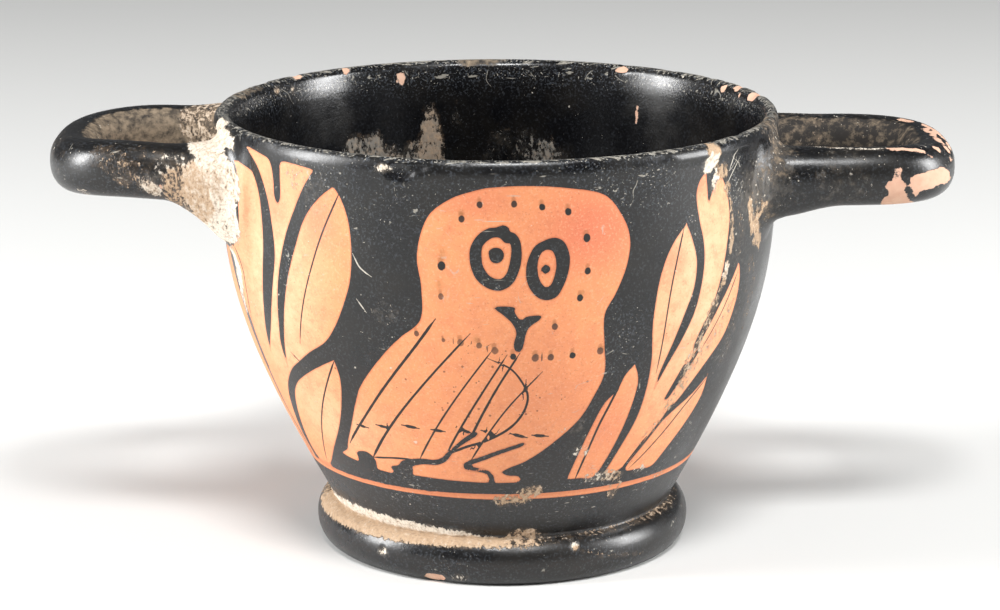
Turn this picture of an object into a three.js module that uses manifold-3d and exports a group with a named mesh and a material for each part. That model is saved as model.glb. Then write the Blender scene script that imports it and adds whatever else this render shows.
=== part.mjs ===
// A skyphos: a deep drinking cup of fired clay, thrown on the wheel, with a thick ring foot
// and two loop handles that were rolled by hand and luted on level with the floor, under the lip.
// Wall, foot and handles were joined before firing, so the cup is one piece.
// Millimetres, +Z up, origin at the centre of the underside, painted front towards -Y, handles along X.
import * as THREE from "three";
import { mergeVertices } from "three/addons/utils/BufferGeometryUtils.js";
import Module from "manifold-3d";

const HEIGHT = 76.5;
const MOUTH_RADIUS = 49;
const WIDTH_OVER_HANDLES = 155.8;

// The rounded lip: half its width, and its height above its own widest point.
const LIP_HALF_WIDTH = 1.55;
const LIP_RISE = 1.9;

// The wall ends a little under the lip and a little inside its edge. On the way up, two control
// radii and heights pull its curve: steep and nearly straight below, upright above the middle.
const WALL_TOP_RADIUS = MOUTH_RADIUS - 0.4;
const WALL_TOP_HEIGHT = HEIGHT - LIP_RISE - 0.9;
const WALL_LOWER_PULL = { radius: MOUTH_RADIUS + 1.6, height: 0.59 * HEIGHT };
const WALL_UPPER_PULL = { radius: MOUTH_RADIUS - 1.6, height: 0.7 * HEIGHT };

// The foot is a fat ring, and the wall grows out of a groove above it.
const GROOVE_RADIUS = 29.9;
const GROOVE_HEIGHT = 7.9;
const STANDING_OUTER_RADIUS = 31.0;
const STANDING_INNER_RADIUS = 26.6;
const FOOT_LOWER_PULL = { radius: 33.5, height: 0.9 };
const FOOT_UPPER_PULL = { radius: 34, height: 7.3 };
const UNDERSIDE_RADIUS = 24.8;
const UNDERSIDE_HEIGHT = 3.6;
const UNDERSIDE_CENTRE_HEIGHT = 4.4;

// Thickness of the wall at the foot and just under the lip, and the height of the floor inside.
const WALL_AT_FOOT = 5.2;
const WALL_AT_LIP = 2.9;
const FLOOR_HEIGHT = 9.2;
const FLOOR_RADIUS = 15;
const FLOOR_DISH = 0.3;
const FLOOR_CORNER = 3;

// The thrown wall leans a little towards the left handle: sideways drift for each millimetre of height.
const LEAN = -0.0122;

// How finely the round shapes are stepped.
const TURNS = 72;
const FOOT_STEPS = 8;
const WALL_STEPS = 10;
const LIP_STEPS = 8;
const CORNER_STEPS = 5;

// Each handle is half of a superellipse seen from above: a horseshoe with rounded corners.
const HORSESHOE_EXPONENT = 3;
const HANDLE_HALF_HEIGHT = 4.85;
const HANDLE_HALF_WIDTH = 4.3;
const ROOT_RADIUS = 43.5;
const HANDLE_RINGS = 30;
const HANDLE_SIDES = 14;
const NUDGE = 0.01;

// What differs between the two handles, which were shaped by eye. side is -1 for the left one.
// halfSpan is half the distance between the two roots, splay widens that towards the tip, arch lifts
// the strands between root and tip, and flare is how far each root is smeared down the wall.
const LEFT_HANDLE = { side: -1, height: 67.8, halfSpan: 17.6, splay: 0.1, arch: 0.9, flare: 4.6 };
const RIGHT_HANDLE = { side: 1, height: 66.9, halfSpan: 15, splay: 0.22, arch: 0.3, flare: 2.6 };
const FLARE_LENGTH = 11;
const FLARE_UP = 0.1;
const FLARE_SIDEWAYS = 0.4;

const wasm = await Module();
wasm.setup();

const point = (radius, height) => new THREE.Vector2(radius, height);

// The outside of the wall, from the groove up to the lip.
const wallCurve = new THREE.CubicBezierCurve(
  point(GROOVE_RADIUS, GROOVE_HEIGHT),
  point(WALL_LOWER_PULL.radius, WALL_LOWER_PULL.height),
  point(WALL_UPPER_PULL.radius, WALL_UPPER_PULL.height),
  point(WALL_TOP_RADIUS, WALL_TOP_HEIGHT),
);

// The outside of the foot, from the standing ring round its bulge and in to the groove.
const footCurve = new THREE.CubicBezierCurve(
  point(STANDING_OUTER_RADIUS, 0),
  point(FOOT_LOWER_PULL.radius, FOOT_LOWER_PULL.height),
  point(FOOT_UPPER_PULL.radius, FOOT_UPPER_PULL.height),
  point(GROOVE_RADIUS, GROOVE_HEIGHT),
);

// The inside of the wall is the outside moved in along its own normal by a thickness that falls
// evenly from the foot to the lip. It is listed from the lip down.
function wallInside() {
  const inside = [];
  for (let step = WALL_STEPS; step >= 0; step -= 1) {
    const t = step / WALL_STEPS;
    const outside = wallCurve.getPoint(t);
    const along = wallCurve.getTangent(t);
    const thickness = THREE.MathUtils.lerp(WALL_AT_FOOT, WALL_AT_LIP, t);
    inside.push(point(outside.x - along.y * thickness, outside.y + along.x * thickness));
  }
  return inside;
}

// The lip is half an ellipse over the top of the wall, from its outer edge to its inner edge.
function lip() {
  const centre = point(MOUTH_RADIUS - LIP_HALF_WIDTH, HEIGHT - LIP_RISE);
  const arc = [];
  for (let step = 0; step <= LIP_STEPS; step += 1) {
    const angle = (Math.PI * step) / LIP_STEPS;
    arc.push(point(
      centre.x + LIP_HALF_WIDTH * Math.cos(angle),
      centre.y + LIP_RISE * Math.sin(angle),
    ));
  }
  return arc;
}

// The floor inside: a soft corner where the wall comes down, then almost flat to the axis.
function floorInside(wallEnd) {
  const corner = new THREE.QuadraticBezierCurve(
    wallEnd,
    point(wallEnd.x - FLOOR_CORNER, FLOOR_HEIGHT),
    point(FLOOR_RADIUS, FLOOR_HEIGHT),
  );
  return [...corner.getPoints(CORNER_STEPS).slice(1), point(0, FLOOR_HEIGHT - FLOOR_DISH)];
}

// The whole section of bowl and foot, from the axis under the foot round to the axis on the floor.
function bowlSection() {
  const inside = wallInside();
  return [
    point(0, UNDERSIDE_CENTRE_HEIGHT),
    point(UNDERSIDE_RADIUS, UNDERSIDE_HEIGHT),
    point(STANDING_INNER_RADIUS, 0),
    ...footCurve.getPoints(FOOT_STEPS),
    ...wallCurve.getPoints(WALL_STEPS).slice(1),
    ...lip(),
    ...inside,
    ...floorInside(inside[inside.length - 1]),
  ];
}

// The lathe turns about Y, so the result is stood up on Z.
function bowlGeometry() {
  const turned = new THREE.LatheGeometry(bowlSection(), TURNS);
  turned.rotateX(Math.PI / 2);
  return turned;
}

// The middle line of a handle. t runs from 0 at the front root to 1 at the back root.
function handlePoint(handle, t) {
  const angle = Math.PI * t;
  const power = 2 / HORSESHOE_EXPONENT;
  const reach = Math.sin(angle) ** power;
  const across = -Math.sign(Math.cos(angle)) * Math.abs(Math.cos(angle)) ** power;
  const rootX = Math.sqrt(ROOT_RADIUS ** 2 - handle.halfSpan ** 2);
  const tipX = WIDTH_OVER_HANDLES / 2 - HANDLE_HALF_WIDTH;
  return new THREE.Vector3(
    handle.side * (rootX + (tipX - rootX) * reach),
    handle.halfSpan * across * (1 + handle.splay * reach ** 2),
    handle.height + handle.arch * Math.sin(Math.PI * reach ** 2),
  );
}

// How much of the root's flare is left at a distance from the wall: all at the wall, none past
// FLARE_LENGTH, with a smooth fall between.
function flareAt(distance) {
  const share = THREE.MathUtils.clamp(distance / FLARE_LENGTH, 0, 1);
  return (1 + Math.cos(Math.PI * share)) / 2;
}

// A handle as rings of points round its middle line, closed by a fan at each end. The ends lie
// inside the wall.
function handleGeometry(handle) {
  const corners = [];
  const faces = [];
  const up = new THREE.Vector3(0, 0, 1);
  for (let ring = 0; ring <= HANDLE_RINGS; ring += 1) {
    const t = ring / HANDLE_RINGS;
    const centre = handlePoint(handle, t);
    const before = handlePoint(handle, Math.max(t - NUDGE, 0));
    const after = handlePoint(handle, Math.min(t + NUDGE, 1));
    const along = after.sub(before).normalize();
    const sideways = new THREE.Vector3().crossVectors(up, along).normalize();
    const distance = Math.hypot(centre.x, centre.y) - WALL_TOP_RADIUS;
    const flare = handle.flare * flareAt(Math.max(distance, 0));
    for (let side = 0; side < HANDLE_SIDES; side += 1) {
      const angle = (2 * Math.PI * side) / HANDLE_SIDES;
      const rise = Math.sin(angle);
      const height = (HANDLE_HALF_HEIGHT + (rise > 0 ? FLARE_UP : 1) * flare) * rise;
      const width = (HANDLE_HALF_WIDTH + FLARE_SIDEWAYS * flare) * Math.cos(angle);
      const corner = centre.clone().addScaledVector(sideways, width).addScaledVector(up, height);
      corners.push(corner.x, corner.y, corner.z);
    }
  }
  const corner = (ring, side) => ring * HANDLE_SIDES + (side % HANDLE_SIDES);
  for (let ring = 0; ring < HANDLE_RINGS; ring += 1) {
    for (let side = 0; side < HANDLE_SIDES; side += 1) {
      const [a, b] = [corner(ring, side), corner(ring, side + 1)];
      const [c, d] = [corner(ring + 1, side), corner(ring + 1, side + 1)];
      faces.push(a, b, d, a, d, c);
    }
  }
  for (let side = 1; side < HANDLE_SIDES - 1; side += 1) {
    faces.push(corner(0, 0), corner(0, side + 1), corner(0, side));
    faces.push(
      corner(HANDLE_RINGS, 0),
      corner(HANDLE_RINGS, side),
      corner(HANDLE_RINGS, side + 1),
    );
  }
  const geometry = new THREE.BufferGeometry();
  geometry.setAttribute("position", new THREE.Float32BufferAttribute(corners, 3));
  geometry.setIndex(faces);
  return geometry;
}

// A closed mesh as a solid that can be joined and cut. A mesh that comes out inside out is turned.
function solidFrom(geometry) {
  const bare = geometry.clone();
  bare.deleteAttribute("normal");
  bare.deleteAttribute("uv");
  const merged = mergeVertices(bare, 1e-4);
  const triangles = new Uint32Array(merged.index.array);
  const build = () => new wasm.Manifold(new wasm.Mesh({
    numProp: 3,
    vertProperties: merged.attributes.position.array,
    triVerts: triangles,
  }));
  const solid = build();
  if (solid.volume() > 0) {
    return solid;
  }
  for (let i = 0; i < triangles.length; i += 3) {
    [triangles[i + 1], triangles[i + 2]] = [triangles[i + 2], triangles[i + 1]];
  }
  return build();
}

function geometryFrom(solid) {
  const mesh = solid.getMesh();
  const geometry = new THREE.BufferGeometry();
  geometry.setAttribute("position", new THREE.BufferAttribute(mesh.vertProperties, 3));
  geometry.setIndex(new THREE.BufferAttribute(mesh.triVerts, 1));
  return geometry;
}

// The handles are luted on before the inside is counted, and what of their roots would stand in
// the bowl is pared off: the space inside the wall is cut away again.
function insideOfBowl() {
  const inside = wallInside();
  const above = HEIGHT + HANDLE_HALF_HEIGHT;
  const profile = [
    point(0, above),
    point(inside[0].x, above),
    ...inside,
    ...floorInside(inside[inside.length - 1]),
  ];
  const turned = new THREE.LatheGeometry(profile, TURNS);
  turned.rotateX(Math.PI / 2);
  return turned;
}

// Moves every point sideways in proportion to its height, which leaves the underside where it is.
function lean(geometry) {
  const shear = new THREE.Matrix4().makeShear(0, 0, 0, 0, LEAN, 0);
  return geometry.applyMatrix4(shear);
}

function skyphos() {
  const bowl = solidFrom(lean(bowlGeometry()));
  const inside = solidFrom(lean(insideOfBowl()));
  let cup = bowl;
  for (const handle of [LEFT_HANDLE, RIGHT_HANDLE]) {
    cup = cup.add(solidFrom(handleGeometry(handle)).subtract(inside));
  }
  const blackGlossedClay = new THREE.MeshStandardMaterial({
    color: "#2a2a2c",
    roughness: 0.35,
    metalness: 0,
  });
  const mesh = new THREE.Mesh(geometryFrom(cup), blackGlossedClay);
  mesh.name = "skyphos";
  return mesh;
}

const part = new THREE.Group();
part.add(skyphos());

export default part;
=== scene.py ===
# %% [markdown]
# A drinking cup with a painted owl
# The real cup was thrown on a wheel, its foot was turned, and two rolled handles were luted on
# under the lip. A painter then covered all but the figures with a fine clay slip that fired to a
# glossy black. The lesson follows the same order: the shape first, then what happened to it in
# the ground, then the painting, and last the surface that the eye sees.

import math

import bpy
import numpy as np
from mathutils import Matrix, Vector


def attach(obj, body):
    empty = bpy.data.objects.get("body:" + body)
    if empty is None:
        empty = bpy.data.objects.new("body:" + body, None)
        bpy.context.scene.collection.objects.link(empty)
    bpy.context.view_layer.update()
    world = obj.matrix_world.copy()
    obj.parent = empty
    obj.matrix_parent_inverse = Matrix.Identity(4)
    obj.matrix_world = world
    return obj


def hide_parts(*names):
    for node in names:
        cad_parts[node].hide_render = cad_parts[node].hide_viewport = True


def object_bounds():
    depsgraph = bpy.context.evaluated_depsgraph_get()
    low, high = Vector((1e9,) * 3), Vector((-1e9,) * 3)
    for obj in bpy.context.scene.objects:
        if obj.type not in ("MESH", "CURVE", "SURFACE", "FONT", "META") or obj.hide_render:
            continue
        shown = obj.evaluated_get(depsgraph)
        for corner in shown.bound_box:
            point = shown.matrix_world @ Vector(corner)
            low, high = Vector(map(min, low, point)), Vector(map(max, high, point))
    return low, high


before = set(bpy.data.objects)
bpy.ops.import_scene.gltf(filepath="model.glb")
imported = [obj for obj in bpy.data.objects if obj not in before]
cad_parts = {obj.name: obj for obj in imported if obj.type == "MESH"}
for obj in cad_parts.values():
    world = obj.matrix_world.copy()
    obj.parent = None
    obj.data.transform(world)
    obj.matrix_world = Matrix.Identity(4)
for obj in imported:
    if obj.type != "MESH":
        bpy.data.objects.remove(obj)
cad_low, cad_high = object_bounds()
MM = 0.001
print("model box in mm:", [round(v / MM, 1) for v in (*cad_low, *cad_high)])

# %% [markdown]
# Camera
# The photograph looks down into the mouth a little, from about half a metre, through a long lens.
# Its height, distance and tilt were found by laying the model's outline over the picture, so the
# camera is set by those three numbers and needs no shift.

# %% Camera
PHOTO_WIDTH = 1000
FOCAL_PIXELS = 3058
SENSOR_WIDTH = 36
CAMERA_PLACE = np.array([-0.44, -520, 173.6])
CAMERA_TILT_DOWN = 14.31

camera = bpy.data.objects.new("camera", bpy.data.cameras.new("camera"))
bpy.context.scene.collection.objects.link(camera)
camera.location = CAMERA_PLACE * MM
camera.rotation_euler = (math.radians(90 - CAMERA_TILT_DOWN), 0, 0)
camera.data.sensor_width = SENSOR_WIDTH
camera.data.lens = SENSOR_WIDTH * FOCAL_PIXELS / PHOTO_WIDTH
bpy.context.scene.camera = camera
print("lens", round(camera.data.lens, 1), "mm")

# %% [markdown]
# The thrown profile
# A thrown vessel is one profile carried round an axis. It could be a curve object with a Screw
# modifier, but a numpy array lets every later step ask where the wall is. Wall and foot are cubic
# Bezier curves, the lip is half an ellipse, and the inside is the wall's curve moved in along its
# own normal by the thickness of the clay.

# %% Profile
HEIGHT = cad_high[2] / MM
MOUTH_RADIUS = 49.0
LIP_HALF_WIDTH = 1.55
LIP_RISE = 1.9
WALL_TOP = (MOUTH_RADIUS - 0.4, HEIGHT - LIP_RISE - 0.9)
GROOVE = (29.9, 7.9)
WALL_PULLS = ((MOUTH_RADIUS + 1.6, 0.59 * HEIGHT), (MOUTH_RADIUS - 1.6, 0.7 * HEIGHT))
STANDING_OUTER = (31.0, 0)
STANDING_INNER = (26.6, 0)
FOOT_PULLS = ((33.5, 0.9), (34.0, 7.3))
UNDERSIDE_EDGE = (24.8, 3.6)
UNDERSIDE_CENTRE = 4.4
WALL_AT_FOOT = 5.2
WALL_AT_LIP = 2.9
FLOOR_HEIGHT = 9.2
FLOOR_RADIUS = 15
FLOOR_DISH = 0.3
FLOOR_CORNER = 3
LEAN = -0.0122


def bezier(points, steps):
    """A Bezier curve of any degree by repeated blending: each pass replaces neighbours a and b by
    (1 - t) a + t b, until one point is left for each t."""
    t = np.linspace(0, 1, steps + 1)[:, None]
    level = [np.array(p, float) for p in points]
    while len(level) > 1:
        level = [(1 - t) * a + t * b for a, b in zip(level, level[1:])]
    return level[0]


def straight(start, end, steps):
    """Points evenly spaced from start to end, both included."""
    return bezier((start, end), steps)


def wall_inside(steps):
    """The wall's curve moved in along its normal, from the lip down: (r - z' w, z + r' w), where
    (r', z') is the unit tangent and w falls evenly from foot to lip."""
    outside = bezier((GROOVE, *WALL_PULLS, WALL_TOP), steps)
    tangent = np.gradient(outside, axis=0)
    tangent /= np.linalg.norm(tangent, axis=1)[:, None]
    width = np.linspace(WALL_AT_FOOT, WALL_AT_LIP, steps + 1)
    inside = outside + np.stack([-tangent[:, 1], tangent[:, 0]], 1) * width[:, None]
    return inside[::-1]


def lip(steps):
    """Half an ellipse over the top of the wall, from its outer edge to its inner edge."""
    turn = np.linspace(0, math.pi, steps + 1)
    middle = (MOUTH_RADIUS - LIP_HALF_WIDTH, HEIGHT - LIP_RISE)
    return np.stack([middle[0] + LIP_HALF_WIDTH * np.cos(turn),
                     middle[1] + LIP_RISE * np.sin(turn)], 1)


WALL_STEPS = 122
inner_wall = wall_inside(26)
floor_edge = (FLOOR_RADIUS, FLOOR_HEIGHT)
corner = (inner_wall[-1], (inner_wall[-1][0] - FLOOR_CORNER, FLOOR_HEIGHT), floor_edge)
section = np.concatenate([
    straight((0, UNDERSIDE_CENTRE), UNDERSIDE_EDGE, 7),
    straight(UNDERSIDE_EDGE, STANDING_INNER, 3)[1:],
    straight(STANDING_INNER, STANDING_OUTER, 3)[1:],
    bezier((STANDING_OUTER, *FOOT_PULLS, GROOVE), 18)[1:],
    bezier((GROOVE, *WALL_PULLS, WALL_TOP), WALL_STEPS)[1:],
    lip(12),
    inner_wall,
    bezier(corner, 5)[1:],
    straight(floor_edge, (0, FLOOR_HEIGHT - FLOOR_DISH), 4)[1:],
])
wall_line = bezier((GROOVE, *WALL_PULLS, WALL_TOP), WALL_STEPS)
print("profile of", len(section), "points")

# %% [markdown]
# Random but repeatable
# Hand work and burial leave smooth, random change at many sizes. Noise on a lattice gives it: a
# random value at each lattice point, blended in between. The values come from arithmetic on the
# lattice numbers, so the same cup comes out every time.

# %% Noise
MIXERS = np.array([374761393, 668265263, 2147483647], np.int64)
SCRAMBLE = 1274126177


def lattice_noise(points, cell, seed=0):
    """Smooth noise from -1 to 1. A cubic lattice of step `cell` holds random values, and the eight
    round each point are blended with the weight 3t^2 - 2t^3 along each axis."""
    scaled = points / cell
    base = np.floor(scaled).astype(np.int64)
    part = scaled - base
    part = part * part * (3 - 2 * part)
    total = np.zeros(len(points))
    for offset in np.ndindex(2, 2, 2):
        mixed = ((base + offset) * MIXERS).sum(1) + seed * SCRAMBLE
        mixed = (mixed ^ (mixed >> 13)) * SCRAMBLE
        mixed = mixed ^ (mixed >> 16)
        value = (mixed & 0xFFFF) / 0x7FFF - 1
        total += value * np.prod(np.where(np.array(offset), part, 1 - part), axis=1)
    return total


def rough_noise(points, cell, seed=0, layers=3):
    """Several lattice noises, each half the size and half the strength of the one before."""
    return sum(lattice_noise(points, cell / 2**n, seed + n) / 2**n for n in range(layers))


def fall(distance, reach):
    """1 at distance 0, 0 from `reach` on, with the smooth curve (1 + cos) / 2 between."""
    return (1 + np.cos(math.pi * np.clip(distance / reach, 0, 1))) / 2


# %% [markdown]
# The bowl as a grid
# The profile is the grid's rows, and the bearings round the axis are its columns. The painted
# front gets narrow columns, because the brush lines there are finer than a millimetre, and the
# back gets wide ones. The thrown wall also leans a little and isn't quite round, as a wet pot
# lifted off the wheel never is.

# %% Bowl grid
FINE_STEP = 0.62
FINE_REACH = 84
COARSE_COLUMNS = 160
OUT_OF_ROUND = 0.12

fine = np.arange(-FINE_REACH, FINE_REACH, FINE_STEP)
coarse = np.linspace(fine[-1] + FINE_STEP, 360 - FINE_REACH, COARSE_COLUMNS, endpoint=False)
bearings = np.radians(np.concatenate([fine, coarse]))


def turned(profile, angles):
    """Point (row, column) = (r sin a + lean z, -r cos a, z): the profile's row at radius r and
    height z, seen at angle a round from the front."""
    radius, height = profile[:, :1], profile[:, 1:]
    rounds = [radius * np.sin(angles) + LEAN * height, -radius * np.cos(angles),
              height + 0 * angles]
    return np.stack(rounds, axis=-1)


def grid_faces(rows, columns):
    """Corner numbers of the quads between neighbouring rows and columns, the columns closing on
    themselves. Rows that go up and columns that go anticlockwise face outwards."""
    row, column = np.meshgrid(np.arange(rows - 1), np.arange(columns), indexing="ij")
    right = (column + 1) % columns
    quads = [row * columns + column, row * columns + right, (row + 1) * columns + right,
             (row + 1) * columns + column]
    return np.stack(quads, -1).reshape(-1, 4)


def closed_grid(name, grid, first_pole, last_pole):
    """A mesh object from a grid of points in mm, closed by a fan of triangles to a pole at the
    first row and another at the last."""
    rows, columns = grid.shape[:2]
    points = np.concatenate([grid.reshape(-1, 3), [first_pole, last_pole]]) * MM
    first, last = rows * columns, rows * columns + 1
    side = np.arange(columns)
    after = (side + 1) % columns
    foot_fan = np.stack([side * 0 + first, after, side], 1)
    top = (rows - 1) * columns
    head_fan = np.stack([top + side, top + after, side * 0 + last], 1)
    faces = [*grid_faces(rows, columns).tolist(), *foot_fan.tolist(), *head_fan.tolist()]
    mesh = bpy.data.meshes.new(name)
    mesh.from_pydata(points, [], faces)
    mesh.update()
    made = bpy.data.objects.new(name, mesh)
    bpy.context.scene.collection.objects.link(made)
    print(name, len(points), "points,", len(faces), "faces")
    return made


bowl_grid = turned(section[1:-1], bearings)
flat_points = bowl_grid.reshape(-1, 3)
wobble = OUT_OF_ROUND * lattice_noise(flat_points, 38, seed=3)
away = flat_points * (1, 1, 0)
away /= np.linalg.norm(away, axis=1)[:, None]
lifted = np.clip(flat_points[:, 2] / 12, 0, 1)
flat_points = flat_points + away * (wobble * lifted - OUT_OF_ROUND)[:, None]
bowl_grid = flat_points.reshape(bowl_grid.shape)
bowl = closed_grid("bowl", bowl_grid, (LEAN * UNDERSIDE_CENTRE, 0, UNDERSIDE_CENTRE),
                   (LEAN * FLOOR_HEIGHT, 0, FLOOR_HEIGHT - FLOOR_DISH))

# %% [markdown]
# The handles
# Each handle is a rolled coil of clay bent into a horseshoe and pressed onto the wall, where the
# potter's thumb smeared its ends onto it. A curve with a round bevel would give one even tube, so
# the coil is a profile carried along a path instead: an oval that grows towards the wall and meets
# it in a hollow fillet, tall above and below. The path is half of a superellipse, which is a
# circle pushed towards a square.

# %% Handles
HORSESHOE_EXPONENT = 3
HANDLE_HALF_HEIGHT = 4.85
HANDLE_HALF_WIDTH = 4.3
SECTION_EXPONENT = 2.25
ROOT_RADIUS = 43.5
FLARE_LENGTH = 11
FLARE_UP = 0.22
FLARE_SIDEWAYS = 0.3
LEFT_HANDLE = dict(side=-1, height=67.8, half_span=17.6, splay=0.1, arch=0.9, flare=5.2,
                   fillets=(3.4, 6.0))
RIGHT_HANDLE = dict(side=1, height=66.9, half_span=15, splay=0.22, arch=0.3, flare=1.8,
                    fillets=(3.3, 3.6))
HANDLE_RINGS = 132
HANDLE_SIDES = 36
ROOT_DEPTH = 1.5
END_CROWDING = 0.55
FILLET_SIDEWAYS = 3.2
FILLET_PASSES = 4
HAND_WAVE = 0.22
WAVE_SIDEWAYS = 0.6
WAVE_FADE = 4


def horseshoe(handle, t):
    """The coil's middle line. With a = pi t and p = 2 / exponent, reach = sin(a)^p goes out and
    back, across = -cos(a)^p goes from the front root to the back one."""
    angle = math.pi * t
    power = 2 / HORSESHOE_EXPONENT
    reach = np.sin(angle).clip(0) ** power
    across = -np.sign(np.cos(angle)) * np.abs(np.cos(angle)) ** power
    root_x = math.sqrt(ROOT_RADIUS**2 - handle["half_span"] ** 2)
    tip_x = cad_high[0] / MM - HANDLE_HALF_WIDTH
    return np.stack([
        handle["side"] * (root_x + (tip_x - root_x) * reach),
        handle["half_span"] * across * (1 + handle["splay"] * reach**2),
        handle["height"] + handle["arch"] * np.sin(math.pi * reach**2),
    ], axis=-1)


def crowded_steps(path, count):
    """The same path at distances t - k sin(2 pi t) / (2 pi) along it, so closer at both ends."""
    walked = np.r_[0, np.cumsum(np.linalg.norm(np.diff(path, axis=0), axis=1))]
    t = np.linspace(0, 1, count)
    wanted = walked[-1] * (t - END_CROWDING * np.sin(2 * math.pi * t) / (2 * math.pi))
    return np.stack([np.interp(wanted, walked, path[:, axis]) for axis in range(3)], axis=1)


def wall_radius(height):
    """Radius of the outside of the wall at a height."""
    return np.interp(height, wall_line[:, 1], wall_line[:, 0])


def fillet(gap, radius):
    """How far a hollow quarter round stands off at a gap from the wall: radius less the square
    root of radius squared less (radius - gap) squared, and nothing beyond the radius."""
    short = np.clip(radius - gap, 0, radius)
    return radius - np.sqrt(radius**2 - short**2)


def coil(name, handle):
    """A ring of points round each point of the path: sideways |cos b|^q times the half width,
    upwards |sin b|^q times the half height. Near the wall each point moves on outwards by the
    fillet at its own gap. The end rings shrink to a pole, and what would come through the wall is
    pushed back into its thickness."""
    middle = crowded_steps(horseshoe(handle, np.linspace(0, 1, 4001)), HANDLE_RINGS)
    along = np.gradient(middle, axis=0)
    sideways = np.cross((0, 0, 1), along)
    sideways /= np.linalg.norm(sideways, axis=1)[:, None]
    gap = np.hypot(middle[:, 0], middle[:, 1]) - WALL_TOP[0]
    flare = handle["flare"] * fall(gap.clip(0), FLARE_LENGTH)
    turn = np.linspace(0, 2 * math.pi, HANDLE_SIDES, endpoint=False)
    power = 2 / SECTION_EXPONENT
    wide = np.sign(np.cos(turn)) * np.abs(np.cos(turn)) ** power
    high = np.sign(np.sin(turn)) * np.abs(np.sin(turn)) ** power
    tall = HANDLE_HALF_HEIGHT + np.where(high > 0, FLARE_UP, 1) * flare[:, None]
    broad = HANDLE_HALF_WIDTH + FLARE_SIDEWAYS * flare[:, None]
    spokes = sideways[:, None] * (broad * wide)[..., None]
    spokes[..., 2] += tall * high
    spoke_way = spokes / np.linalg.norm(spokes, axis=2)[..., None]
    rings = middle[:, None] + spokes
    fillet_above, fillet_below = handle["fillets"]
    radius = np.hypot(FILLET_SIDEWAYS * wide, np.where(high > 0, fillet_above, fillet_below) * high)
    from_axis = np.hypot(rings[..., 0] - LEAN * rings[..., 2], rings[..., 1])
    stand = 0 * from_axis
    for _ in range(FILLET_PASSES):
        own_gap = from_axis - wall_radius(rings[..., 2] + spoke_way[..., 2] * stand)
        stand = fillet(own_gap, radius)
    rings += spoke_way * stand[..., None]
    caps = [0.25, 0.5, 0.75]
    first = [middle[0] + (rings[0] - middle[0]) * s for s in caps]
    last = [middle[-1] + (rings[-1] - middle[-1]) * s for s in reversed(caps)]
    rings = np.stack([*first, *rings, *last])
    points = np.concatenate([rings.reshape(-1, 3), middle[:1], middle[-1:]])
    axis = np.stack([LEAN * points[:, 2], 0 * points[:, 2]], 1)
    out = points[:, :2] - axis
    radius = np.linalg.norm(out, axis=1)
    least = wall_radius(points[:, 2]) - ROOT_DEPTH
    points[:, :2] = axis + out * (np.maximum(radius, least) / radius)[:, None]
    free = fall(np.clip(ROOT_DEPTH + WAVE_FADE - (radius - least), 0, None), WAVE_FADE)
    wave = HAND_WAVE * lattice_noise(points, 13, seed=11) * free
    points[:, 2] += wave
    points[:, 1] += WAVE_SIDEWAYS * wave
    grid = points[:-2].reshape(len(rings), HANDLE_SIDES, 3)
    return closed_grid(name, grid, points[-2], points[-1])


handles = [coil("left_handle", LEFT_HANDLE), coil("right_handle", RIGHT_HANDLE)]

# %% [markdown]
# Luting the handles on
# The coils and the bowl are one body of clay, so they are joined by a Boolean union, which leaves
# one closed skin. The union leaves a slight crease where the real clay was smoothed over with a
# wet finger, so points near the crease are moved towards the mean of their neighbours, many times
# over, and the closer to the crease, the more.

# %% One skin
CREASE_REACH = 6
CREASE_PASSES = 36
HANDLES_FROM = 50


def one_skin(base, coils, name):
    """The union of the solids, evaluated into a new mesh."""
    for handle in coils:
        join = base.modifiers.new("lute " + handle.name, "BOOLEAN")
        join.operation = "UNION"
        join.solver = "MANIFOLD"
        join.object = handle
    graph = bpy.context.evaluated_depsgraph_get()
    mesh = bpy.data.meshes.new_from_object(base.evaluated_get(graph))
    mesh.name = name
    for spare in [*coils, base]:
        bpy.data.objects.remove(spare)
    made = bpy.data.objects.new(name, mesh)
    bpy.context.scene.collection.objects.link(made)
    return made


def read_points(thing):
    """The mesh's points in mm, one row each."""
    points = np.empty(len(thing.data.vertices) * 3)
    thing.data.vertices.foreach_get("co", points)
    return points.reshape(-1, 3) / MM


def write_points(thing, points):
    """Puts points in mm back into the mesh."""
    thing.data.vertices.foreach_set("co", (points * MM).ravel())
    thing.data.update()


def read_edges(thing):
    """The two point numbers of each edge."""
    edges = np.empty(len(thing.data.edges) * 2, np.int64)
    thing.data.edges.foreach_get("vertices", edges)
    return edges.reshape(-1, 2)


def neighbour_mean(values, edges, count):
    """For each point, the mean of its neighbours' values: sum over edges divided by their number."""
    ends = np.r_[edges[:, 0], edges[:, 1]]
    others = np.r_[edges[:, 1], edges[:, 0]]
    number = np.bincount(ends, minlength=count).clip(1)
    sums = [np.bincount(ends, weights=values[others, axis], minlength=count)
            for axis in range(values.shape[1])]
    return np.stack(sums, 1) / number[:, None]


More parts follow.
